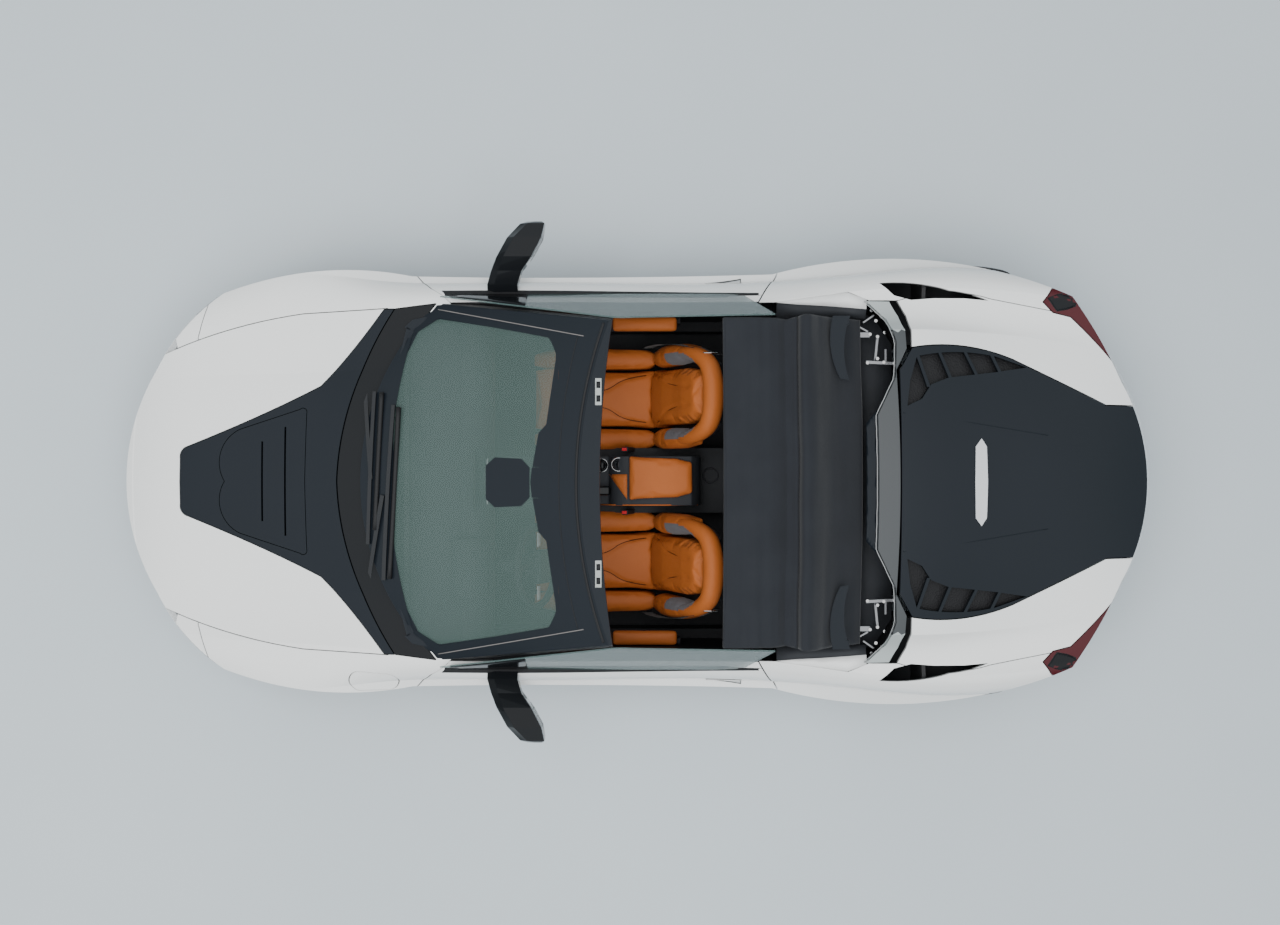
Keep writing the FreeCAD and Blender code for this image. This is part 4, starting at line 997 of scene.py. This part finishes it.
def with_twin(shape):
    twin = shape.copy()
    bmesh.ops.scale(twin, verts=twin.verts, vec=(1, -1, 1))
    bmesh.ops.reverse_faces(twin, faces=twin.faces)
    return [shape, twin]


def vent_floor(x, y):
    near, far = VENT_SIDES
    inner = drop(x, near, "boot_lid")[0]
    outer = drop(x, far, "rear_deck", "rear_fenders")[0] or inner - VENT_FALL
    return inner + (outer - inner) * (abs(y) - near) / (far - near) - VENT_DEPTH


mesh_shape = lay_shape(LID_MESH, ["boot_lid"], 0.0, 0.0)
for vert in mesh_shape.verts:
    vert.co.z = vent_floor(vert.co.x, vert.co.y)
joined("lid_mesh", with_twin(mesh_shape), vent_mesh, "boot_lid")
creases = []
for line in (LID_CREASE, flipped(LID_CREASE)):
    points = [(x, y, drop(x, y, "boot_lid")[0] + 0.0004) for x, y in line]
    creases.append(tube_shape(points, 0.0016, sides=8))
joined("lid_creases", creases, satin_black, "boot_lid")
lamp_skin = ["rear_fenders", "tail_lamps", "rear_deck"]
both_sides("lamp_hollows", LAMP_HOLLOW, lamp_skin, gloss_black, "body", 0.0012, 0.0012, 0.02)
both_sides("air_slits", AIR_SLIT, ["front_bumper"], gloss_black, "body", 0.0008, 0.0012, 0.01)
plenum_x, plenum_bow = PLENUM_FRONT
plenum = dress_faces("hood_band", gloss_black, lambda c: c.x < plenum_x - plenum_bow * c.y * c.y)
blades = dress_faces("soft_top_frame", satin_black, lambda c: c.z > BLADE_HEIGHT)
print("plenum faces:", plenum, "blade faces:", blades)

# %% [markdown]
# The frame round the screen is one moulding. Its header ends in a shallow arc behind the
# seal, so a copy of the CAD piece is cut along that arc with a boolean. Each arc is given by
# where it crosses the middle and how far it bows back at its ends. Then come the parts that
# lie on the frame: the seal for the roof, the thin joint before it, a thin line along each
# pillar whose pale colour is a painted highlight where the pillar's edge catches the light,
# the black printed band round the glass, and the wiper blades.

# %% Screen surround
HEADER_REAR = (0.147, 0.051)
HEADER_SEAL = (0.243, 0.113)
HEADER_JOINT = (0.3155, 0.091)
HEADER_HALF = 0.654
GLASS_FOOT = 0.9
KNIFE_HALF = 0.70
KNIFE_REAR = -0.2
KNIFE_FLOOR = 1.0
KNIFE_TALL = 0.4
PILLAR_LINE = ((0.854, 0.744), (0.214, 0.603))
PRINT_INNER = [(0.944, 0.641), (0.926, 0.672), (0.892, 0.694), (0.840, 0.700), (0.573, 0.649),
               (0.366, 0.603), (0.340, 0.588), (0.329, 0.560), (0.331, 0.507), (0.369, 0.241),
               (0.402, 0.204), (0.427, 0.065)]
PRINT_OUTER = [(1.000, 0.668), (0.966, 0.700), (0.910, 0.712), (0.843, 0.712), (0.573, 0.662),
               (0.352, 0.616), (0.326, 0.596), (0.318, 0.560), (0.318, 0.507), (0.322, 0.241),
               (0.322, 0.204), (0.322, 0.065)]
MIRROR_PRINT = [(0.322, -0.070), (0.322, 0.070), (0.430, 0.062), (0.436, 0.0), (0.430, -0.062)]
CAMERA_BOX = [(0.440, -0.062), (0.475, -0.098), (0.590, -0.104), (0.628, -0.070), (0.628, 0.070),
              (0.590, 0.104), (0.475, 0.098), (0.440, 0.062)]
PRINT_LOW_INNER = [(1.034, 0.0), (1.041, 0.180), (1.037, 0.327), (1.003, 0.520), (0.944, 0.641)]
PRINT_LOW_OUTER = [(1.072, 0.0), (1.068, 0.180), (1.058, 0.327), (1.028, 0.520), (0.990, 0.668)]
BLADES = [[(1.018, -0.320), (1.033, 0.050), (1.062, 0.418)],
          [(1.096, -0.385), (1.108, -0.100), (1.124, 0.207)]]
BLADE_RADIUS = 0.011


def header_arc(arc, y):
    return arc[0] - arc[1] * (y / HEADER_HALF) ** 2


def make_knife():
    knife = bmesh.new()
    ys = [KNIFE_HALF * k / 20 for k in range(-20, 21)]
    outline = [(header_arc(HEADER_REAR, y), y) for y in ys]
    outline += [(KNIFE_REAR, KNIFE_HALF), (KNIFE_REAR, -KNIFE_HALF)]
    face = knife.faces.new([knife.verts.new((x, y, KNIFE_FLOOR)) for x, y in outline])
    made = bmesh.ops.extrude_face_region(knife, geom=[face])["geom"]
    top = [item for item in made if isinstance(item, bmesh.types.BMVert)]
    bmesh.ops.translate(knife, verts=top, vec=UP * KNIFE_TALL)
    bmesh.ops.recalc_face_normals(knife, faces=knife.faces)
    mesh = bpy.data.meshes.new("knife")
    knife.to_mesh(mesh)
    knife.free()
    cutter = bpy.data.objects.new("knife", mesh)
    bpy.context.collection.objects.link(cutter)
    return cutter


def cut_header():
    shape = bmesh.new()
    shape.from_mesh(nodes["windscreen_frame"].data)
    bmesh.ops.remove_doubles(shape, verts=shape.verts, dist=1e-5)
    piece = settle("screen_surround", shape, satin_black, "body", normals=False)
    cutter = make_knife()
    cut = piece.modifiers.new("cut", "BOOLEAN")
    cut.operation = "DIFFERENCE"
    cut.object = cutter
    bpy.context.view_layer.objects.active = piece
    bpy.ops.object.modifier_apply(modifier=cut.name)
    bpy.data.objects.remove(cutter)
    for face in piece.data.polygons:
        face.use_smooth = False
    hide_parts("windscreen_frame")
    return piece


def on_frame(x, y, lift):
    height = drop(x, y, "windscreen_frame", "windscreen_glass")[0]
    return (x, y, height + lift)


def arc_tube(name, arc, radius, finish, lift, reach=HEADER_HALF):
    ys = [reach * k / 16 for k in range(-16, 17)]
    tube(name, [on_frame(header_arc(arc, y), y, lift) for y in ys], radius, finish, "body", "black_plastic")


def glass_band(outer, inner, steps=4):
    shape = bmesh.new()
    rows = []
    for (xo, yo), (xi, yi) in zip(outer, inner):
        rows.append([shape.verts.new((xo + (xi - xo) * k / steps, yo + (yi - yo) * k / steps, 0))
                     for k in range(steps + 1)])
    for first, second in zip(rows, rows[1:]):
        for k in range(steps):
            shape.faces.new((first[k], first[k + 1], second[k + 1], second[k]))
    bmesh.ops.subdivide_edges(shape, edges=shape.edges[:], cuts=2, use_grid_fill=True)
    for vert in shape.verts:
        vert.co.z = (drop(vert.co.x, vert.co.y, "windscreen_glass")[0] or GLASS_FOOT) + 0.0006
    return with_twin(shape)


surround = cut_header()
print("surround faces:", len(surround.data.polygons))
arc_tube("header_seal", HEADER_SEAL, 0.0065, seal_rubber, -0.001)
arc_tube("header_joint", HEADER_JOINT, 0.0018, seal_rubber, 0.0, 0.60)
# The tubes along the pillars are trim lines, and their pale colour is a painted highlight.
(foot_x, foot_y), (head_x, head_y) = PILLAR_LINE
pillars = []
for _, side in SIDES:
    route = []
    for k in range(13):
        x, y = foot_x + (head_x - foot_x) * k / 12, foot_y + (head_y - foot_y) * k / 12
        route.append(on_frame(x, y * side, 0.0006))
    pillars.append(tube_shape(route, 0.0022, sides=8, smooth=False))
joined("pillar_lines", pillars, pillar_trim, "body")
band = glass_band(PRINT_OUTER, PRINT_INNER) + glass_band(PRINT_LOW_OUTER, PRINT_LOW_INNER)
joined("screen_print", band, satin_black, "body")
lay("mirror_print", MIRROR_PRINT, ["windscreen_glass"], satin_black, "body", 0.0008, 0.0)
lay("screen_camera", CAMERA_BOX, ["windscreen_glass"], satin_black, "body", 0.0007, 0.0)
for number, line in enumerate(BLADES):
    route = [on_frame(x, y, BLADE_RADIUS + 0.001) for x, y in line]
    tube("wiper_blade_%d" % number, route, BLADE_RADIUS, seal_rubber, "body", "black_plastic")

# %% [markdown]
# The screen's header carries the two latch plates for the top, pale with dark cut-outs. The
# door mirrors get their glass on the rear face.

# %% Header and mirrors
PLATE = (0.152, 0.372, 0.026, 0.110)
PLATE_SLOT = (0.016, 0.026, 0.028)
MIRROR_GLASS = [(0.930, 0.470, 0.918, 0.974), (0.970, 0.4385, 0.924, 1.003),
                (1.040, 0.3990, 0.938, 1.022), (1.090, 0.3890, 0.958, 1.010)]


def plate_on(x, y, length, width, lift, thick):
    corners = [(x + length * along / 2, y + width * across / 2)
               for along, across in ((-1, -1), (1, -1), (1, 1), (-1, 1))]
    return lay_shape(corners, ["windscreen_frame"], lift, thick)


def mirror_glass_shape(side):
    shape = bmesh.new()
    rows = []
    for y, x, low, high in MIRROR_GLASS:
        rows.append([shape.verts.new((x - 0.002, y * side, z)) for z in (low, high)])
    for (a, b), (c, d) in zip(rows, rows[1:]):
        shape.faces.new((a, b, d, c))
    bmesh.ops.solidify(shape, geom=shape.faces[:], thickness=0.002)
    return shape


plate_x, plate_y, plate_length, plate_width = PLATE
slot_length, slot_width, slot_off = PLATE_SLOT
plates = [plate_on(plate_x, plate_y * side, plate_length, plate_width, 0.0014, 0.003) for _, side in SIDES]
finished(joined("latch_plates", plates, light_trim, "body"), 0.001, 2)
slots = [plate_on(plate_x, (plate_y + off) * side, slot_length, slot_width, 0.0024, 0.001)
         for _, side in SIDES for off in (-slot_off, slot_off)]
joined("latch_slots", slots, display_black, "body")
for side_name, side in SIDES:
    glass = mirror_glass_shape(side)
    settle("mirror_glass_" + side_name, glass, mirror_glass, "door_" + side_name)
print("header and mirrors ready")

# %% [markdown]
# Small things finish the wheels. Their faces are bright where a lathe would
# cut them and dark in their pockets. Bolts and a plain cap close the hub, and the disc
# behind the spokes is bare iron.

# %% Wheels
HUB_FACES = {"front": 0.888, "rear": 0.9345}
WHEEL_X = {"front": 1.4, "rear": -1.4}
FACE_SKIN = 0.0006
DISC_BEHIND = 0.045
DISC_RADIUS = 0.17
BOLT_CIRCLE = 0.047
BOLTS = 5


def give_faces(mesh, index, chosen):
    for face in mesh.polygons:
        if chosen(face):
            face.material_index = index


def dress_wheel(end, side_name, side):
    face_y, x = HUB_FACES[end], WHEEL_X[end]
    mesh = nodes["rim_" + end + "_" + side_name].data
    mesh.materials.clear()
    for finish in (dark_alloy, bright_alloy, iron):
        mesh.materials.append(finish)

    def lathed(face):
        return abs(face.center.y) > face_y - FACE_SKIN and face.normal.y * side > 0.9

    def on_disc(face):
        radius = math.hypot(face.center.x - x, face.center.z - TYRE_RADIUS)
        return abs(face.center.y) < face_y - DISC_BEHIND and radius < DISC_RADIUS

    give_faces(mesh, 1, lathed)
    give_faces(mesh, 2, on_disc)
    body = "wheel_" + end + "_" + side_name
    axle = (0, side, 0)
    cap = drum_shape((x, (face_y + 0.002) * side, TYRE_RADIUS), axle, 0.034, 0.010, top=0.029)
    finished(settle("hub_cap_" + end + "_" + side_name, cap, gloss_black, body), 0.002, 3)
    bolts = []
    for k in range(BOLTS):
        angle = math.tau * k / BOLTS
        bolt_x, bolt_z = x + BOLT_CIRCLE * math.cos(angle), TYRE_RADIUS + BOLT_CIRCLE * math.sin(angle)
        bolts.append(drum_shape((bolt_x, (face_y + 0.003) * side, bolt_z), axle, 0.0085, 0.010, 6))
        bolts.append(drum_shape((bolt_x, (face_y + 0.001) * side, bolt_z), axle, 0.011, 0.004, 20))
    joined("wheel_bolts_" + end + "_" + side_name, bolts, satin_steel, body)


for end in HUB_FACES:
    for side_name, side in SIDES:
        dress_wheel(end, side_name, side)
print("wheels finished")

# %% [markdown]
# In the cabin the steering wheel gets its padded boss and bright spoke trims, the dashboard
# its two screens and four round vents, and each seat a belt that comes through a chrome
# guide at the shoulder.

# %% Cabin details
BOSS_AT = Vector((0.440, 0.377, 0.735))
BOSS_WAY = Vector((-math.cos(math.radians(24)), 0, math.sin(math.radians(24))))
BELT = [(-0.352, 0.548, 0.905), (-0.320, 0.553, 0.946), (-0.268, 0.580, 0.900), (-0.190, 0.604, 0.780),
        (-0.120, 0.6175, 0.620), (-0.070, 0.619, 0.480), (-0.050, 0.618, 0.350)]
BELT_HALF = 0.023
BELT_THICK = 0.0014
GUIDE_AT = (-0.320, 0.5535, 0.9485)
VENTS = [(-0.600, 0.845), (-0.075, 0.868), (0.075, 0.868), (0.640, 0.845)]
VENT_FACE = (0.640, 0.845, 0.4)
VENT_BELOW = 0.055
VENT_PITCH = 0.012


def on_boss(shape, out, across=0.0):
    turn = UP.rotation_difference(BOSS_WAY).to_matrix()
    bmesh.ops.translate(shape, verts=shape.verts, vec=(0, across, out))
    bmesh.ops.rotate(shape, verts=shape.verts, matrix=turn)
    bmesh.ops.translate(shape, verts=shape.verts, vec=BOSS_AT)
    return shape


def ribbon_shape(points, half):
    shape = bmesh.new()
    rows = []
    for point in points:
        place = Vector(point)
        rows.append([shape.verts.new(place + Vector((half * s, 0, 0))) for s in (-1, 1)])
    for (a, b), (c, d) in zip(rows, rows[1:]):
        shape.faces.new((a, b, d, c))
    bmesh.ops.subdivide_edges(shape, edges=shape.edges[:], cuts=3, use_grid_fill=True)
    return shape


def vent_shapes(y, z):
    face_x, face_z, lean = VENT_FACE
    x = face_x + lean * (z - face_z)
    middle = z - VENT_BELOW
    ring = oval((x, y, middle), (0, 0.032, 0), (0, 0, 0.024))
    bars = [box_shape(x + 0.002, y, middle + VENT_PITCH * k, 0.006, 0.058, 0.002) for k in (-1, 0, 1)]
    return [tube_shape(ring, 0.003, sides=8, closed=True)] + bars


boss = on_boss(box_shape(0, 0, 0, 0.118, 0.150, 0.034), 0.030)
finished(settle("steering_boss", boss, dark_leather, "steering_wheel"), 0.014, 5)
trims = [on_boss(box_shape(0, 0, 0, 0.022, 0.062, 0.006), 0.010, across) for across in (-0.118, 0.118)]
finished(joined("steering_trims", trims, bar_silver, "steering_wheel"), 0.002, 3)
screens = [box_shape(0.6445, 0.377, 0.838, 0.006, 0.190, 0.060, 0.0, -0.12),
           box_shape(0.700, 0.0, 0.885, 0.012, 0.230, 0.094, 0.0, -0.12)]
finished(joined("dash_screens", screens, display_black, "body"), 0.003, 3)
vents = [shape for y, z in VENTS for shape in vent_shapes(y, z)]
joined("dash_vents", vents, bar_silver, "body")
guide_x, guide_y, guide_z = GUIDE_AT
for side_name, side in SIDES:
    points = BELT if side > 0 else flipped(BELT)
    belt = settle("belt_" + side_name, ribbon_shape(points, BELT_HALF), webbing, "body")
    thickened(belt, BELT_THICK)
    guide = oval((guide_x, guide_y * side, guide_z), (0.031, 0, 0), (0, 0, 0.009))
    tube("belt_guide_" + side_name, guide, 0.003, chrome, "body", "rim_alloy", closed=True)
for side_name, side in SIDES:
    dress("door_trim_" + side_name, dark_leather)
    shape = box_shape(-0.040, 0.706 * side, 0.640, 0.290, 0.066, 0.044)
    rest = settle("door_armrest_" + side_name, shape, tan_leather, "door_" + side_name)
    plump(rest, 0.008)
    finished(rest, subdivide=1)
settle("interior_mirror_glass", box_shape(0.4035, 0, 1.061, 0.001, 0.208, 0.048), mirror_glass, "body")
print("cabin finished")

# %% [markdown]
# Each door has a rubber seal where the window comes out of it, and a flush handle with a
# thin dark gap round it. The handle is a small grid that is pressed onto the door from the
# side.

# %% Doors
SEAL_X = [0.80, 0.65, 0.50, 0.35, 0.20, 0.05, -0.10, -0.25, -0.40]
SEAL_Y = 0.7995
SIDE_FROM = 2.0
HANDLE = (-0.385, 0.795, 0.150, 0.030)


def side_hit(x, z, side, node_name):
    hit = tree_of(node_name).ray_cast(Vector((x, SIDE_FROM * side, z)), Vector((0, -side, 0)))
    return hit[0], hit[1]


def handle_shape(side, grow, lift, thick):
    x, z, length, height = HANDLE
    shape = bmesh.new()
    bmesh.ops.create_grid(shape, x_segments=14, y_segments=4, size=0.5)
    for vert in shape.verts:
        px, pz = x + vert.co.x * (length + grow), z + vert.co.y * (height + grow)
        place, normal = side_hit(px, pz, side, "door_left" if side > 0 else "door_right")
        vert.co = place + normal * lift
    bmesh.ops.recalc_face_normals(shape, faces=shape.faces)
    bmesh.ops.solidify(shape, geom=shape.faces[:], thickness=thick)
    return shape


for side_name, side in SIDES:
    door = "door_" + side_name
    line = [(x, SEAL_Y * side, drop(x, SEAL_Y * side, door)[0] + 0.001) for x in SEAL_X]
    tube("door_seal_" + side_name, line, 0.0045, seal_rubber, door, "black_plastic")
    settle("handle_gap_" + side_name, handle_shape(side, 0.006, 0.0004, 0.0008), seal_rubber, door)
    settle("handle_" + side_name, handle_shape(side, 0.0, 0.0022, 0.0030), pearl_white, door)
print("doors finished")

# %% [markdown]
# The belt line runs below the side windows. A black strip follows it on each door, a black
# panel closes the front corner of the glass, and behind the door a pale strip and a dark
# lining lead on to the rear fender.

# %% Belt line
BELT_LINE = [(0.842, 0.8035), (0.842, 0.829), (0.33, 0.8275), (-0.10, 0.823), (-0.40, 0.818),
             (-0.572, 0.814), (-0.572, 0.8035)]
SAIL_X = [0.835, 0.80, 0.74, 0.68, 0.62, 0.56, 0.50, 0.465]
SAIL_LEVELS = [0.905 + 0.003 * k for k in range(110)]
SAIL_ROWS = 4
QUARTER = [(-0.606, 0.777, 0.770), (-0.70, 0.785, 0.761), (-0.80, 0.799, 0.755),
           (-0.905, 0.811, 0.746), (-0.985, 0.779, 0.738)]
QUARTER_INNER = 0.700
QUARTER_LEVEL = 0.95
QUARTER_SKINS = ((1, 2, 0.001, 0.004), (2, 3, 0.006, 0.030))


def sail_shape(side, glass):
    shape = bmesh.new()
    rows = []
    for x in SAIL_X:
        glazed = [z for z in SAIL_LEVELS if side_hit(x, z, side, glass)[0] is not None]
        if len(glazed) < SAIL_ROWS:
            continue
        picked = [glazed[round((len(glazed) - 1) * k / (SAIL_ROWS - 1))] for k in range(SAIL_ROWS)]
        hits = [side_hit(x, z, side, glass) for z in picked]
        rows.append([shape.verts.new(place + normal * 0.0012) for place, normal in hits])
    for first, second in zip(rows, rows[1:]):
        for k in range(SAIL_ROWS - 1):
            shape.faces.new((first[k], first[k + 1], second[k + 1], second[k]))
    bmesh.ops.recalc_face_normals(shape, faces=shape.faces)
    return shape


def quarter_shapes(side):
    skins = []
    for near, far, near_fall, far_fall in QUARTER_SKINS:
        shape = bmesh.new()
        rows = []
        for row in QUARTER:
            x = row[0]
            level = drop(x, (row[1] + 0.008) * side, "rear_fenders", "rear_deck")[0] or QUARTER_LEVEL
            ys = (*row, QUARTER_INNER)
            rows.append([shape.verts.new((x, ys[near] * side, level - near_fall)),
                         shape.verts.new((x, ys[far] * side, level - far_fall))])
        for (a, b), (c, d) in zip(rows, rows[1:]):
            shape.faces.new((a, b, d, c))
        bmesh.ops.recalc_face_normals(shape, faces=shape.faces)
        if sum(face.normal.z for face in shape.faces) < 0:
            bmesh.ops.reverse_faces(shape, faces=shape.faces)
        bmesh.ops.solidify(shape, geom=shape.faces[:], thickness=0.003)
        skins.append(shape)
    return skins


for side_name, side in SIDES:
    door = "door_" + side_name
    outline = BELT_LINE if side > 0 else flipped(BELT_LINE)
    lay("belt_strip_" + side_name, outline, [door], seal_rubber, door, 0.0015, 0.003)
    sail = sail_shape(side, "side_glass_" + side_name)
    thickened(settle("sail_panel_" + side_name, sail, gloss_black, door), 0.0008)
    white, dark = quarter_shapes(side)
    settle("quarter_skin_" + side_name, white, pearl_white, "body")
    settle("quarter_lining_" + side_name, dark, soft_trim, "body")
print("belt line finished")

# %% [markdown]
# The cover over the folded top is dark. The ends of its two humps are white paint, given a
# greyed white as painted shade because their faces turn forward, away from the light. Along its
# front edge lies a thin chrome tube as a painted highlight for the light that the edge catches;
# its place is found by stepping back from the cabin until a drop first hits the cover. A black
# lip closes the edge's middle. Below the open cover lies a dark well with the bright links that
# carry the folded top.

# %% Cover and well
LIP = [(-1.010, 0.300), (-0.967, 0.248), (-0.967, -0.248), (-1.010, -0.300)]
LIP_DROP = 0.010
LIP_SLOPE = 0.10
LIP_BOW = 0.20
LIP_THICK = 0.003
EDGE_REACH = 0.760
EDGE_FROM = -0.950
EDGE_STEP = 0.001
EDGE_STEPS = 240
HUMP_FROM = 0.640
WELL = [(-1.120, 0.60), (-1.040, 0.72), (-0.965, 0.74)]
WELL_HEIGHT = 0.815
LINKS = [(-0.970, 0.630, 0.950, 0.070, 0.024, 0.010, 0.0),
         (-1.050, 0.510, 0.950, 0.130, 0.016, 0.014, 0.05),
         (-0.975, 0.655, 0.944, 0.050, 0.010, 0.020, 0.5),
         (-1.035, 0.575, 0.930, 0.014, 0.110, 0.010, 0.1),
         (-1.072, 0.535, 0.945, 0.012, 0.070, 0.012, 0.0),
         (-1.000, 0.700, 0.935, 0.060, 0.010, 0.012, -0.6)]
PINS = [(-0.940, 0.630), (-1.003, 0.632), (-0.992, 0.510), (-1.062, 0.512), (-1.108, 0.508),
        (-1.035, 0.622), (-1.035, 0.528), (-1.028, 0.690), (-1.066, 0.640), (-1.010, 0.735)]
PIN_HEIGHT = 0.956


def cover_front(y):
    for step in range(EDGE_STEPS):
        x = EDGE_FROM - EDGE_STEP * step
        height = drop(x, y, "top_cover")[0]
        if height is not None:
            return (x + EDGE_STEP / 2, y, height + 0.0008)
    return None


edge_points = [cover_front(EDGE_REACH * k / 30) for k in range(-30, 31)]
edge_points = [point for point in edge_points if point]
# The chrome tube is a painted highlight: it stands for the light caught along the cover's front edge.
tube("cover_edge", edge_points, 0.0026, chrome, "top_cover", "bar_silver", smooth=False)
print("edge points:", len(edge_points))
# Painted shade: the humps' forward faces get the greyed white instead of the plain white.
humps = dress_faces("top_cover", hump_white, lambda c: abs(c.y) > HUMP_FROM)
print("hump faces:", humps)
lip = lay_shape(LIP, ["top_cover"], 0.0, 0.0)
front_height = cover_front(0.1)[2]
for vert in lip.verts:
    slope = LIP_SLOPE * (vert.co.x - LIP[0][0])
    vert.co.z = front_height - LIP_DROP - slope - LIP_BOW * vert.co.y ** 2
thickened(settle("cover_lip", lip, satin_black, "top_cover"), LIP_THICK)
well = slab([(x, WELL_HEIGHT, half, 0.003, 0.0, 0.0) for x, half in WELL])
settle("well_floor", well, soft_trim, "body")
links = [box_shape(x, y * side, z, length, width, height, turn * side)
         for x, y, z, length, width, height, turn in LINKS for _, side in SIDES]
finished(joined("top_links", links, satin_steel, "body"), 0.003, 2)
pins = [drum_shape((x, y * side, PIN_HEIGHT), UP, 0.0075, 0.014, 16)
        for x, y in PINS for _, side in SIDES]
finished(joined("top_link_pins", pins, chrome, "body"), 0.001, 2)
print("well ready")

# %% [markdown]
# The light is that of an overcast day: a sky that is bright overhead and darker towards the
# horizon, one very large soft lamp high up and a weaker one before the car. Mirrors don't
# show the lamps. The floor is a plain pale blue-grey plate that isn't part of the car.

# %% Floor and light
FLOOR_HALF = 300.0
SKY = [(0.0, (0.10, 0.11, 0.11)), (0.30, (0.24, 0.27, 0.28)), (0.65, (0.80, 0.86, 0.89)),
       (1.0, (1.0, 1.0, 1.0))]
LAMPS = [("high_softbox", (0.5, 1.0, 11.0), (9.0, 7.0), 1250.0, (1, 1, 1)),
         ("front_fill", (9.0, 3.0, 6.0), (6.0, 4.0), 260.0, (1.0, 0.98, 0.95))]


def make_floor():
    shape = bmesh.new()
    bmesh.ops.create_grid(shape, x_segments=1, y_segments=1, size=FLOOR_HALF)
    mesh = bpy.data.meshes.new("studio_floor")
    shape.to_mesh(mesh)
    shape.free()
    floor = bpy.data.objects.new("studio_floor", mesh)
    bpy.context.collection.objects.link(floor)
    finish = Finish("pale_floor", Roughness=0.85, Specular_IOR_Level=0.2)
    patches = finish.noise(0.8, 5.0)
    finish.give("Base Color", finish.mix(patches, (0.50, 0.56, 0.60), (0.55, 0.61, 0.645)))
    mesh.materials.append(finish.material)


def make_lamp(name, place, size, power, colour):
    data = bpy.data.lights.new(name, "AREA")
    data.shape = "RECTANGLE"
    data.size, data.size_y = size
    data.energy = power
    data.color = colour
    lamp = bpy.data.objects.new(name, data)
    lamp.location = place
    lamp.rotation_euler = (-Vector(place)).to_track_quat("-Z", "Y").to_euler()
    lamp.visible_glossy = False
    bpy.context.collection.objects.link(lamp)


def make_sky(stops):
    world = bpy.data.worlds.new("sky")
    bpy.context.scene.world = world
    world.use_nodes = True
    tree = world.node_tree
    background = tree.nodes["Background"]
    place = tree.nodes.new("ShaderNodeTexCoord")
    height = tree.nodes.new("ShaderNodeSeparateXYZ")
    ramp = tree.nodes.new("ShaderNodeValToRGB")
    while len(ramp.color_ramp.elements) < len(stops):
        ramp.color_ramp.elements.new(1.0)
    for element, (position, colour) in zip(ramp.color_ramp.elements, stops):
        element.position = position
        element.color = (*colour, 1)
    tree.links.new(place.outputs["Generated"], height.inputs[0])
    tree.links.new(height.outputs["Z"], ramp.inputs[0])
    tree.links.new(ramp.outputs["Color"], background.inputs["Color"])
    background.inputs["Strength"].default_value = 1.0


make_floor()
make_sky(SKY)
for lamp in LAMPS:
    make_lamp(*lamp)
print("stage ready")
